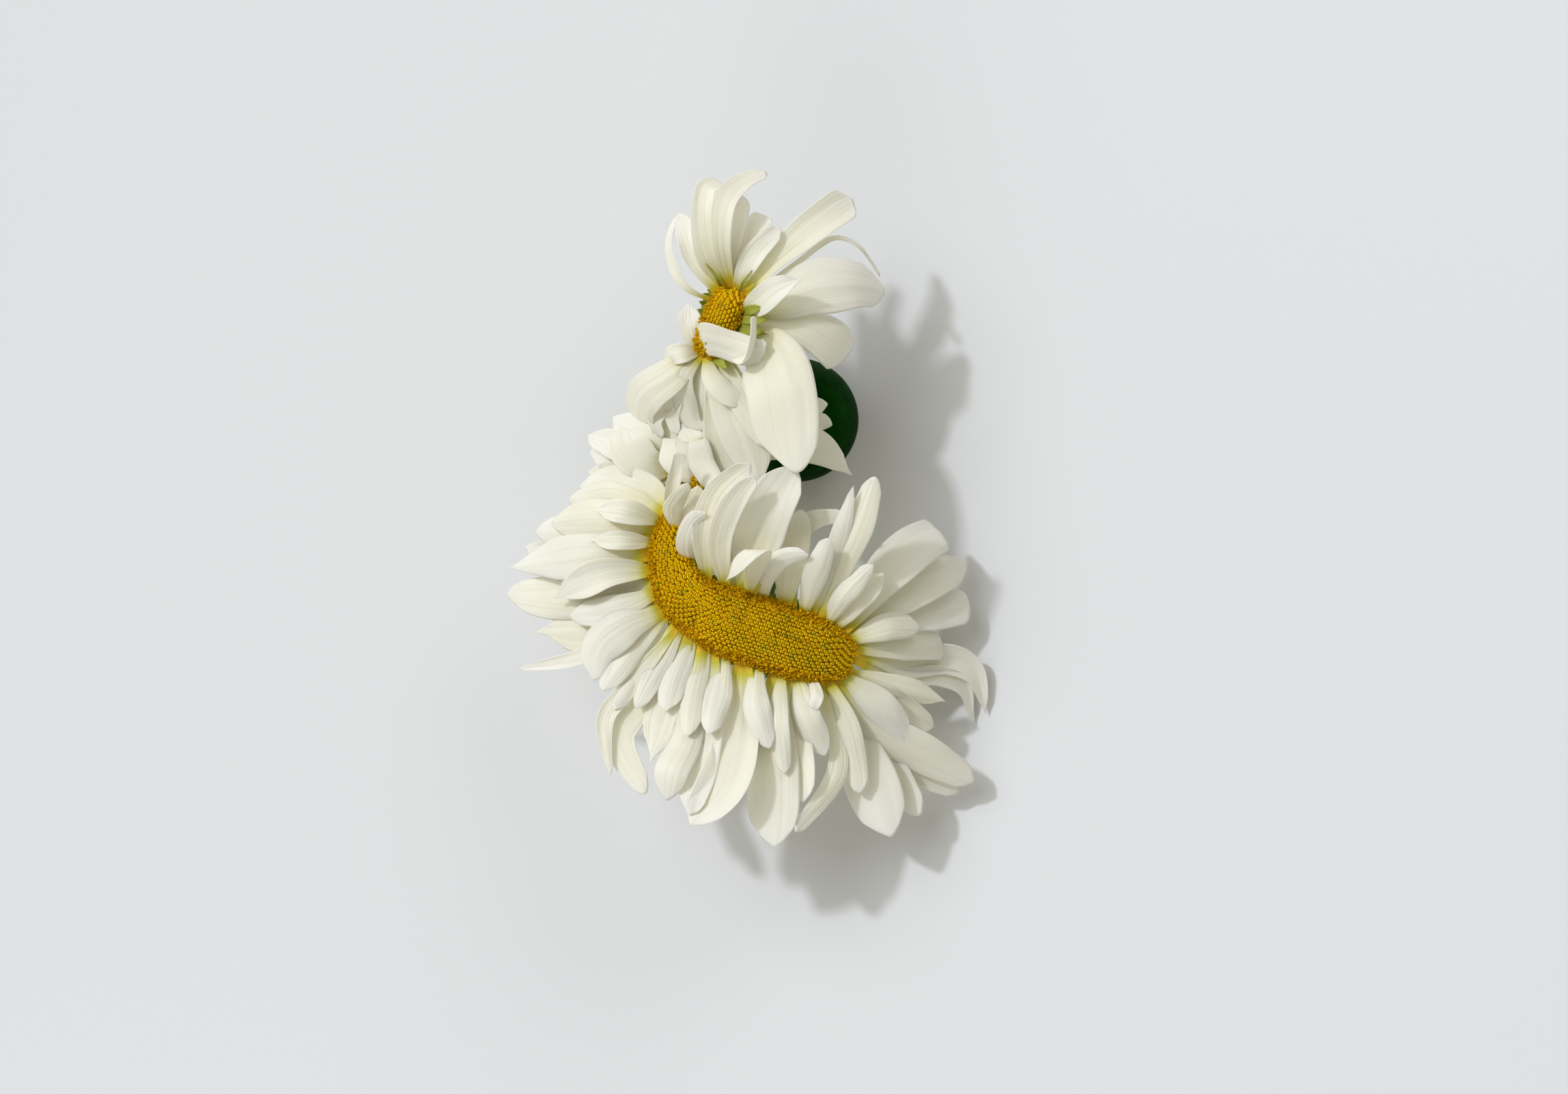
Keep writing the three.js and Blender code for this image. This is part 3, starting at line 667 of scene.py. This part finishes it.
def pollen(radius):
    """A grain of pollen: a small eight-sided crumb."""
    points = np.array([(1, 0, 0), (0, 1, 0), (-1, 0, 0), (0, -1, 0), (0, 0, 1), (0, 0, -1)], float) * radius
    faces = [(0, 1, 4), (1, 2, 4), (2, 3, 4), (3, 0, 4), (1, 0, 5), (2, 1, 5), (3, 2, 5), (0, 3, 5)]
    return points, faces, [0.8] * 6


def crest_frame(crest, settings, share, across, step=0.004, aside=0.03):
    """A point on the dome with the directions along, across and straight out of it."""
    def on_dome(share, across):
        return crest.point(share, across, dome(crest, settings, share, across))

    here = on_dome(share, across)
    along = unit(on_dome(min(1.0, share + step), across) - on_dome(max(0.0, share - step), across))
    left = crest.point(share, across + aside, dome(crest, settings, share, min(1, across + aside)))
    right = crest.point(share, across - aside, dome(crest, settings, share, max(-1, across - aside)))
    up = unit(np.cross(along, left - right))
    return here, along, unit(np.cross(up, along)), up


class Cluster:
    """Many small closed shapes gathered into one mesh."""

    def __init__(self):
        self.vertices, self.faces, self.grain, self.count = [], [], [], 0

    def add(self, points, faces, grain):
        self.vertices.append(points)
        self.faces.extend(tuple(self.count + corner for corner in face) for face in faces)
        self.grain.extend(grain)
        self.count += len(points)

    def put(self, shape, centre, axes, along, number, opened=0):
        """Adds a floret or crumb. Its coordinates hold the place along the crest, its own number, and the
        height on it with OPENED added on an open one."""
        points, faces, heights = shape
        turned = points[:, :1] * axes[0] + points[:, 1:2] * axes[1] + points[:, 2:3] * axes[2]
        self.add(turned + centre, faces, [(along, number, height + opened) for height in heights])

    def mesh(self, name):
        return add_mesh(name, np.vstack(self.vertices), self.faces, self.grain)


def closed_florets(cluster, crest, settings, chance):
    rows = max(3, round(2 * crest.half_width * CROWDING / settings.row_width))
    steps = round(crest.length / settings.floret_length)
    for row in range(rows):
        for step in range(steps):
            share = (step + 0.5 * (row % 2) + 0.25 + chance.uniform(-0.07, 0.07)) / steps
            share = min(0.99, max(0.01, share))
            fullness = crest.fullness(share)
            shown = max(2, round(rows * fullness ** 0.8))
            if row >= shown:
                continue
            across = lerp(-1, 1, (row + 0.5) / shown) + chance.uniform(-0.012, 0.012)
            if abs(across) > 1 - settings.open_band and chance.random() < 0.7:
                continue
            here, *axes = crest_frame(crest, settings, share, across)
            width = 2 * crest.half_width * CROWDING * fullness / shown
            size = chance.uniform(0.93, 1.03)
            shape = bud(settings.floret_length * size * 0.98, width * size * 0.96, settings.row_width * 0.55)
            cluster.put(shape, here, axes, share, chance.random())


def rim_florets(cluster, crest, settings, chance):
    """Open florets and loose pollen in a band round the rim."""
    for _ in range(round(crest.length * OPEN_PER_MM)):
        share = chance.uniform(0.002, 0.998)
        side = chance.choice((-1, 1))
        across = side * lerp(1 - settings.open_band * 1.2, 1.08, chance.random() ** 0.8)
        here, along, flat, up = crest_frame(crest, settings, share, across)
        lean = unit(up + flat * side * chance.uniform(0.0, 0.9) + along * chance.uniform(-0.5, 0.5))
        first = unit(np.cross(lean, along))
        spin = chance.uniform(0, math.pi)
        first = math.cos(spin) * first + math.sin(spin) * np.cross(lean, first)
        axes = (first, np.cross(lean, first), lean)
        lift = chance.uniform(-0.2, 0.4)
        shape = open_floret(chance.uniform(0.34, 0.6), chance.uniform(0.7, 1.3))
        cluster.put(shape, here + lean * lift, axes, share, chance.random(), OPENED)
        for _ in range(CRUMBS):
            aside = first * chance.uniform(-1.3, 1.3) + axes[1] * chance.uniform(-1.3, 1.3)
            spot = here + aside + lean * (lift + chance.uniform(0.0, 0.8))
            cluster.put(pollen(chance.uniform(0.11, 0.2)), spot, axes, share, chance.random(), OPENED)


def make_florets(head, settings):
    """Closed florets in rows along the crest, with open ones round its rim."""
    chance = random.Random(f"{head['name']} florets")
    cluster = Cluster()
    closed_florets(cluster, head["crest"], settings, chance)
    rim_florets(cluster, head["crest"], settings, chance)
    return cluster.mesh(f"{head['name']}_florets")


# ---- green pieces

BOWL_DEPTH = 6
BRACT_GRID = (12, 5)
BRACT_SPACING = 2.6
BRACT_SHAPE = {"roll": 0, "twist": 0, "curl": 60, "tip": "pointed", "wave": 0.1, "widest": 0.45}
BRACT_THICKNESS, BRACT_GROOVE, BRACT_BASE, TUFT_BASE = 0.4, 0.1, 0.8, 0.6
LEVEL = np.array([1, 1, 0])


def make_receptacle(head):
    """The green base under a disc, a bowl that is deepest along its middle."""
    crest = head["crest"]

    def bowl(share, across):
        return -(1.6 + BOWL_DEPTH * (1 - across ** 2)) * crest.fullness(share) - 0.4

    return make_pad(head, "receptacle", 50, 0.95, lambda share, across: -1.5 * crest.fullness(share), bowl,
                    (0.3, 0.5, 0.5))


def bract_line(crest, share, side, rank, settings, chance):
    """The line of a bract of a rank, from under the disc to past its rim, and round the ends of the crest."""
    rim = crest.point(share, side)
    under = crest.point(share, side * lerp(0.72, 0.45, rank), lerp(-2.4, -4.4, rank))
    out = unit((rim - under) * LEVEL)
    ends = crest.line[-1] - crest.line[-2] if share > 0.5 else crest.line[0] - crest.line[1]
    out = unit(out + unit(ends * LEVEL) * abs(2 * share - 1) ** 6)
    reach = settings.bract_length * chance.uniform(0.35, 0.6)
    tip = rim + out * reach + np.array([0, 0, lerp(-1.9, -3.4, rank) - chance.uniform(0, 1.2)])
    middle = lerp(under, tip, 0.55) + np.array([0, 0, -0.9])
    return smooth_line([under, middle, tip], 20)


def make_bracts(head, settings):
    """Pointed bracts in two ranks round the rim, below the rays, and the tuft that shows where rays part."""
    crest = head["crest"]
    chance = random.Random(f"{head['name']} bracts")
    cluster = Cluster()

    def join(line, width, shape, seed, base_share):
        points, grain = blade(line, width, shape, BRACT_THICKNESS, BRACT_GROOVE, seed, base_share, BRACT_GRID)
        cluster.add(points, sheet_faces(*BRACT_GRID), grain)

    count = round(crest.length * 2 / BRACT_SPACING)
    for rank in range(2):
        for index in range(count):
            around = (index + 0.5 * rank) / count
            side = 1 if around < 0.5 else -1
            share = min(0.97, max(0.03, (around * 2) % 1 + chance.uniform(-0.006, 0.006)))
            line = bract_line(crest, share, side, rank, settings, chance)
            seed = f"{head['name']} bract {rank} {index}"
            join(line, chance.uniform(1.8, 2.6), BRACT_SHAPE, seed, BRACT_BASE)
    for index, leaf in enumerate(head["tuft"]):
        line = ray_line(crest, leaf["root"], leaf["way"])
        join(line, leaf["width"], leaf, f"{head['name']} tuft {index}", TUFT_BASE)
    return cluster.mesh(f"{head['name']}_bract_ranks")


STEMS = {
    # Points over the mouth, the section's width and thickness, and how many ribs it has.
    "front_head": (((-2, -9, -34.4), (0.85, -4, -6), (0.85, -4, 1), (-3, -20, 2), (-7, -42, -6),
                    (-12, -62, -8)), 5.0, 2.4, 14),
    "back_head": (((-8, 6, -34.4), (-2.82, 2.54, -6), (-2.82, 2.54, 1), (-13, 16, 6), (-22, 27, 8)),
                  3.0, 3.0, 10),
    "left_head": (((-9, -4, -34.4), (-3.5, -1.48, -6), (-3.5, -1.48, 1), (-18, -11, 0), (-30, -16, -4)),
                  3.0, 3.0, 10),
}
STEM_SAMPLES = 90
STEPS_PER_RIB = 4
RIB_HEIGHT = 0.05


def make_stem(head):
    """A ribbed stem from the floor of the vase to under its head."""
    way, width, thickness, ribs = STEMS[head["name"]]
    line = smooth_line([above(point) for point in way], STEM_SAMPLES)
    around = ribs * STEPS_PER_RIB
    tangents = unit(np.gradient(line, axis=0))
    side = unit(np.cross(tangents[0], np.array([0.2, 1.0, 0.0])))
    vertices, grain = [], []
    for index, (centre, tangent) in enumerate(zip(line, tangents)):
        side = unit(side - tangent * np.dot(side, tangent))
        up = np.cross(tangent, side)
        for step, turn in enumerate(turns(around)):
            rib = 1 + RIB_HEIGHT * math.cos(ribs * turn)
            vertices.append(centre + side * math.cos(turn) * width / 2 * rib
                            + up * math.sin(turn) * thickness / 2 * rib)
            grain.append((index / len(line), step / around, 0.5))
    return add_mesh(f"{head['name']}_flower_stem", vertices, capped_tube(len(line), around), grain)


# ---- vase

VASE_SIDES = 128
PROFILE_SAMPLES = 60
LIP_STEPS = 8
FOOT_GAP = 0.25


def vase_profile(settings):
    """Radius and height, from the middle of the foot up the outside and down the inside to the floor."""
    height = MOUTH_HEIGHT
    neck = settings.mouth_radius + settings.lip_wall
    belly, belly_height, foot = settings.belly_radius, settings.belly_height, settings.foot_radius
    knots = [(foot, 0), ((foot + 2 * belly) / 3, belly_height / 3), (belly, belly_height),
             ((neck + belly) / 2, height - (height - belly_height) / 4), (neck, height - 1)]
    outside = smooth_line([(radius, z, 0) for radius, z in knots], PROFILE_SAMPLES)[:, :2]
    outside[:, 0] = np.minimum(outside[:, 0], belly)
    foot_round = [(0, FOOT_GAP), (foot - 3, FOOT_GAP), (foot - 1.6, 0.02), (foot - 0.5, 0.0),
                  (foot - 0.1, FOOT_GAP)]
    lip_centre = settings.mouth_radius + settings.lip_wall / 2
    lip = [(lip_centre + settings.lip_wall / 2 * math.cos(turn), height - 1 + math.sin(turn))
           for turn in np.linspace(0.25, math.pi - 0.25, LIP_STEPS)]
    floor = settings.floor_thickness
    inside = [(radius - lerp(settings.wall, settings.lip_wall, z / height), z)
              for radius, z in outside[::-1] if floor + 1.2 < z < height - 1.2]
    bottom = [(inside[-1][0] - 0.8, floor + 0.4), (inside[-1][0] - 2, floor), (0, floor)]
    return foot_round + outside[2:].tolist() + lip + inside + bottom


def make_vase(settings):
    first, *profile, last = vase_profile(settings)
    vertices = [(0, 0, first[1])]
    for radius, z in profile:
        vertices += [oval(turn, radius, radius, z) for turn in turns(VASE_SIDES)]
    vertices.append((0, 0, last[1]))
    faces = lattice(len(profile), VASE_SIDES, 1, closed=True)
    end = len(vertices) - 1
    top = end - VASE_SIDES
    for step in range(VASE_SIDES):
        after = (step + 1) % VASE_SIDES
        faces.append((0, 1 + after, 1 + step))
        faces.append((end, top + step, top + after))
    return add_mesh("glazed_vase", vertices, faces)


# ---- materials

BLACK, WHITE = (0, 0, 0, 1), (1, 1, 1, 1)
ROOT_GOLD = (0.80, 0.52, 0.02)
NUMBER_CREAM, VEIN_CREAM, PATCH_CREAM = (0.99, 0.96, 0.84), (0.96, 0.945, 0.86), (0.97, 0.94, 0.82)
BROWN_GOLD, BUD_GREEN = (0.70, 0.36, 0.006), (0.36, 0.40, 0.02)
OPEN_BRIGHT, OPEN_DEEP = (0.95, 0.62, 0.005), (0.82, 0.44, 0.003)
BRACT_TIP = (0.42, 0.44, 0.05)


def opaque(colour, factor=1.0):
    return tuple(min(1.0, channel * factor) for channel in colour) + (1.0,)


def blended(first, second, share):
    return opaque([lerp(a, b, share) for a, b in zip(first, second)])


class Shader:
    """A short way to wire a node material."""

    def __init__(self, name):
        self.material = bpy.data.materials.new(name)
        self.material.use_nodes = True
        self.tree = self.material.node_tree
        self.surface = self.tree.nodes["Principled BSDF"]

    def node(self, kind, inputs=None, **settings):
        made = self.tree.nodes.new(f"ShaderNode{kind}")
        for key, value in settings.items():
            setattr(made, key, value)
        for key, value in (inputs or {}).items():
            self.feed(made.inputs[key], value)
        return made

    def feed(self, socket, value):
        if isinstance(value, bpy.types.NodeSocket):
            self.tree.links.new(value, socket)
        else:
            socket.default_value = value

    def math(self, operation, first, second=0.0):
        return self.node("Math", {0: first, 1: second}, operation=operation).outputs[0]

    def times(self, first, second):
        return self.math("MULTIPLY", first, second)

    def over(self, value, low, gain):
        """How far a value is over a low one, times a gain."""
        return self.times(self.math("SUBTRACT", value, low), gain)

    def mix(self, share, first, second, blend="MIX"):
        inputs = {0: share, 6: first, 7: second}
        return self.node("Mix", inputs, data_type="RGBA", blend_type=blend).outputs[2]

    def shade(self, share, colour, dark):
        return self.mix(share, colour, opaque(dark), "MULTIPLY")

    def ramp(self, share, stops):
        made = self.node("ValToRGB", {0: share})
        while len(made.color_ramp.elements) < len(stops):
            made.color_ramp.elements.new(0.5)
        for element, (position, colour) in zip(made.color_ramp.elements, stops):
            element.position = position
            element.color = colour
        return made.outputs[0]

    def spots(self, value, low, high, full=1):
        """A mask that is nothing below low and full above high."""
        return self.ramp(value, [(low, BLACK), (high, (full, full, full, 1))])

    def noise(self, vector, scale, detail=2.0, roughness=0.5):
        inputs = {"Vector": vector, "Scale": scale, "Detail": detail, "Roughness": roughness}
        return self.node("TexNoise", inputs).outputs[0]

    def place(self):
        return self.node("TexCoord").outputs["Object"]

    def patches(self, scale, detail=2.0, roughness=0.5):
        """Noise in the piece's own space."""
        return self.noise(self.place(), scale, detail, roughness)

    def grain(self):
        """The piece's own coordinates."""
        vector = self.node("Attribute", attribute_name="grain").outputs["Vector"]
        return self.node("SeparateXYZ", {0: vector}).outputs

    def lanes(self, along, across, number, scale, detail=2.0, roughness=0.5):
        """Noise drawn out along the piece, with its own place in the noise for each number."""
        vector = self.node("CombineXYZ", {0: along, 1: across, 2: number}).outputs[0]
        return self.noise(vector, scale, detail, roughness)

    def bump(self, height, strength, distance):
        made = self.node("Bump", {"Height": height, "Strength": strength, "Distance": distance})
        self.feed(self.surface.inputs["Normal"], made.outputs[0])

    def roughness(self, share, low, high):
        made = self.node("MapRange", {0: share, 3: low, 4: high})
        self.feed(self.surface.inputs["Roughness"], made.outputs[0])

    def finish(self, colour, **constants):
        """Feeds in the colour and sets the surface's constants, with _ for a space in a socket's name."""
        self.feed(self.surface.inputs["Base Color"], colour)
        for name, value in constants.items():
            self.surface.inputs[name.replace("_", " ")].default_value = value
        return self.material


def petal_material(settings):
    shader = Shader("Cream petal")
    along, across, number = shader.grain()
    own = shader.times(number, 31)
    veins = shader.lanes(shader.times(along, 1.6), shader.times(across, 13), own, 1.5, 4, 0.6)
    broad = shader.lanes(shader.times(along, 0.8), shader.times(across, 4), own, 1.3)
    crease = shader.math("ABSOLUTE", shader.math("SUBTRACT", broad, 0.5))
    cream, base = settings.cream, settings.base
    blade_colour = shader.ramp(along, [
        (0.06, opaque(ROOT_GOLD)),
        (0.1, opaque(base)),
        (0.17, blended(base, cream, 0.55)),
        (0.28, blended(base, cream, 0.84)),
        (0.5, opaque([cream[0], cream[1] * 0.99, cream[2] * 0.94])),
        (1.0, opaque(cream)),
    ])
    toned = shader.shade(shader.times(number, 0.6), blade_colour, NUMBER_CREAM)
    veined = shader.shade(shader.times(veins, 0.3), toned, VEIN_CREAM)
    colour = shader.shade(shader.times(shader.patches(160, 3), 0.2), veined, PATCH_CREAM)
    shader.roughness(veins, 0.45, 0.65)
    shader.bump(shader.math("ADD", shader.times(veins, 0.16), shader.times(crease, 1.8)), 0.45, 0.0005)
    return shader.finish(colour, Subsurface_Weight=0.55, Subsurface_Radius=(1.0, 0.97, 0.85),
                         Subsurface_Scale=0.0012, Specular_IOR_Level=0.3)


def floret_material(settings):
    shader = Shader("Golden florets")
    along, number, height = shader.grain()
    grit = shader.patches(2600)
    young = shader.math("ADD", shader.over(along, 0.3, 0.9), shader.over(shader.patches(130, 3), 0.45, 1.6))
    young = shader.node("Clamp", {0: young}).outputs[0]
    closed = shader.mix(young, opaque(settings.gold), opaque(settings.olive))
    warmed = shader.mix(shader.times(number, 0.3), closed, opaque(BROWN_GOLD))
    greened = shader.mix(shader.spots(shader.patches(420), 0.56, 0.72, 0.7), warmed, opaque(BUD_GREEN))
    # Painted shade: each closed floret is darkened towards its foot and sides by its height, as if shade fell
    # between the florets
    shade = shader.ramp(height, [(0.0, (0.62, 0.5, 0.3, 1)), (0.5, (0.92, 0.88, 0.8, 1)), (0.8, WHITE)])
    shaded_kernel = shader.mix(1.0, greened, shade, "MULTIPLY")
    bright = shader.mix(number, opaque(OPEN_BRIGHT), opaque(OPEN_DEEP))
    shader.roughness(grit, 0.5, 0.85)
    shader.bump(grit, 0.5, 0.0002)
    colour = shader.mix(shader.math("GREATER_THAN", height, OPENED - 0.5), shaded_kernel, bright)
    return shader.finish(colour, Subsurface_Weight=0.1, Subsurface_Radius=(1.0, 0.6, 0.1),
                         Subsurface_Scale=0.0005, Specular_IOR_Level=0.05)


def leafy_material(name, colour, tip_colour):
    shader = Shader(name)
    along, across, number = shader.grain()
    fibres = shader.lanes(shader.times(along, 2), shader.times(across, 18), number, 2, 3)
    body = shader.mix(along, opaque(colour), tip_colour)
    shader.roughness(fibres, 0.45, 0.7)
    shader.bump(fibres, 0.4, 0.0003)
    return shader.finish(shader.mix(shader.patches(220, 3), opaque(colour, 0.8), body),
                         Subsurface_Weight=0.1, Subsurface_Scale=0.001)


def glaze_material(settings):
    shader = Shader("Dark green glaze")
    clouds = shader.patches(70, 4, 0.65)
    tall = shader.node("Mapping", {"Vector": shader.place(), "Scale": (260, 260, 40)}).outputs[0]
    drips = shader.noise(tall, 1.0, 3)
    speckle = shader.patches(900)
    deep, pale, streak, fleck = (opaque(settings.glaze, factor) for factor in (0.55, 1.5, 2.2, 0.3))
    mottled = shader.mix(shader.spots(clouds, 0.32, 0.68), deep, pale)
    streaked = shader.mix(shader.spots(drips, 0.5, 0.75, 0.5), mottled, streak)
    shader.roughness(clouds, 0.22, 0.4)
    shader.bump(shader.math("ADD", speckle, shader.times(drips, 2.0)), 0.15, 0.0003)
    return shader.finish(shader.mix(shader.spots(speckle, 0.66, 0.74, 0.6), streaked, fleck),
                         IOR=1.12, Specular_IOR_Level=0.02)


def floor_material(settings):
    shader = Shader("Pale floor")
    colour = shader.mix(shader.patches(6), opaque(settings.floor, 0.995), opaque(settings.floor))
    return shader.finish(colour, Roughness=0.9, Specular_IOR_Level=0.1)


# ---- stage

LIGHT_FROM = Vector((-0.505, 0.4, 0.765))
KEY_ANGLE = math.radians(3.5)
SOFT_ANGLE = math.radians(38)
FILL_SIZE = 0.8
NEAR_FILL = Vector((-0.45, -1.0, 0.75))
FAR_FILL = Vector((0.5, 1.0, 0.8))
FLOOR_SIZE = 6
VIEW_CENTRE = (-0.0038, -0.0379)
HEAD_HEIGHT = 0.05
SENSOR = 36.0
VIEW_END = 20


def hang_light(scene, name, kind, spot, **settings):
    """A lamp at a spot, turned to the middle of the floor."""
    data = bpy.data.lights.new(name, kind)
    for key, value in settings.items():
        setattr(data, key, value)
    lamp = bpy.data.objects.new(name, data)
    lamp.rotation_euler = (-spot).to_track_quat("-Z", "Y").to_euler()
    lamp.location = spot
    scene.collection.objects.link(lamp)


def light_stage(scene, settings):
    for name, strength, angle in (("key", settings.key_strength, KEY_ANGLE),
                                  ("soft", settings.soft_strength, SOFT_ANGLE)):
        hang_light(scene, name, "SUN", LIGHT_FROM, energy=strength, angle=angle, color=settings.cool)
    for name, spot, power in (("near fill", NEAR_FILL, settings.near_power),
                              ("far fill", FAR_FILL, settings.far_power)):
        hang_light(scene, name, "AREA", spot, shape="DISK", size=FILL_SIZE, energy=power)
    world = bpy.data.worlds.new("soft studio")
    world.use_nodes = True
    background = world.node_tree.nodes["Background"]
    background.inputs["Color"].default_value = opaque(settings.warm)
    background.inputs["Strength"].default_value = settings.all_round
    scene.world = world


def look_down(scene, settings):
    data = bpy.data.cameras.new("camera")
    data.sensor_width = SENSOR
    data.lens = (settings.camera_height - HEAD_HEIGHT) * SENSOR / (settings.view_width * MM)
    data.clip_end = VIEW_END
    camera = bpy.data.objects.new("camera", data)
    camera.location = (*VIEW_CENTRE, settings.camera_height)
    scene.collection.objects.link(camera)
    scene.camera = camera


# ---- operators

class DAISY_OT_stage(bpy.types.Operator):
    """Make the floor, the lights and the camera"""
    bl_idname = "daisy.stage"
    bl_label = "Stage"

    def execute(self, context):
        settings = context.scene.daisy_stage
        bpy.ops.mesh.primitive_plane_add(size=FLOOR_SIZE, location=(0, 0, 0))
        floor = context.active_object
        floor.name = "floor"
        floor.data.materials.append(floor_material(settings))
        context.scene.view_settings.view_transform = "Standard"
        light_stage(context.scene, settings)
        look_down(context.scene, settings)
        return {"FINISHED"}


class DAISY_OT_vase(bpy.types.Operator):
    """Make the glazed vase"""
    bl_idname = "daisy.vase"
    bl_label = "Vase"

    def execute(self, context):
        settings = context.scene.daisy_vase
        place(make_vase(settings), "vase_glaze", glaze_material(settings), "vase")
        return {"FINISHED"}


class DAISY_OT_stems(bpy.types.Operator):
    """Make the three stems"""
    bl_idname = "daisy.stems"
    bl_label = "Stems"

    def execute(self, context):
        settings = context.scene.daisy_green
        material = leafy_material("Green stem", settings.stem, opaque(settings.stem, 1.2))
        for head in HEADS:
            place(make_stem(head), "stem_green", material, f"{head['name']}_stem")
        return {"FINISHED"}


class DAISY_OT_bracts(bpy.types.Operator):
    """Make the green receptacles and their bracts"""
    bl_idname = "daisy.bracts"
    bl_label = "Bracts"

    def execute(self, context):
        settings = context.scene.daisy_green
        material = leafy_material("Green bract", settings.bract, opaque(BRACT_TIP))
        for head in HEADS:
            node = f"{head['name']}_bracts"
            place(make_receptacle(head), "bract_green", material, node)
            place(make_bracts(head, settings), "bract_green", material, node)
        return {"FINISHED"}


class DAISY_OT_discs(bpy.types.Operator):
    """Make the discs with their florets"""
    bl_idname = "daisy.discs"
    bl_label = "Discs"

    def execute(self, context):
        settings = context.scene.daisy_disc
        material = floret_material(settings)
        for head in HEADS:
            node = f"{head['name']}_disc"
            place(make_disc(head, settings), "disc_florets", material, node)
            place(make_florets(head, settings), "disc_florets", material, node)
        return {"FINISHED"}


class DAISY_OT_rays(bpy.types.Operator):
    """Make the rays of all the heads"""
    bl_idname = "daisy.rays"
    bl_label = "Rays"

    def execute(self, context):
        settings = context.scene.daisy_ray
        material = petal_material(settings)
        for head in HEADS:
            make_rays(head, settings, material)
        return {"FINISHED"}


OPERATORS = {
    DAISY_OT_stage: "daisy_stage",
    DAISY_OT_vase: "daisy_vase",
    DAISY_OT_stems: "daisy_green",
    DAISY_OT_bracts: "daisy_green",
    DAISY_OT_discs: "daisy_disc",
    DAISY_OT_rays: "daisy_ray",
}


class DAISY_PT_panel(bpy.types.Panel):
    """The sidebar panel that lists the pieces"""
    bl_idname = "DAISY_PT_panel"
    bl_label = "Crested Daisies"
    bl_space_type = "VIEW_3D"
    bl_region_type = "UI"
    bl_category = "Daisies"

    def draw(self, context):
        for operator, key in OPERATORS.items():
            box = self.layout.box()
            box.label(text=operator.bl_label)
            group = getattr(context.scene, key)
            for name in group.__annotations__:
                box.prop(group, name)
            box.operator(operator.bl_idname)


SETTINGS = {
    "daisy_vase": VaseSettings,
    "daisy_green": GreenSettings,
    "daisy_disc": DiscSettings,
    "daisy_ray": RaySettings,
    "daisy_stage": StageSettings,
}


def register():
    for key, group in SETTINGS.items():
        bpy.utils.register_class(group)
        setattr(bpy.types.Scene, key, bpy.props.PointerProperty(type=group))
    for kind in (*OPERATORS, DAISY_PT_panel):
        bpy.utils.register_class(kind)


def unregister():
    for kind in (DAISY_PT_panel, *reversed(OPERATORS)):
        bpy.utils.unregister_class(kind)
    for key, group in reversed(SETTINGS.items()):
        delattr(bpy.types.Scene, key)
        bpy.utils.unregister_class(group)


def main():
    register()
    bpy.ops.daisy.stage()
    bpy.ops.daisy.vase()
    bpy.ops.daisy.stems()
    bpy.ops.daisy.bracts()
    bpy.ops.daisy.discs()
    bpy.ops.daisy.rays()


if __name__ == "__main__":
    main()
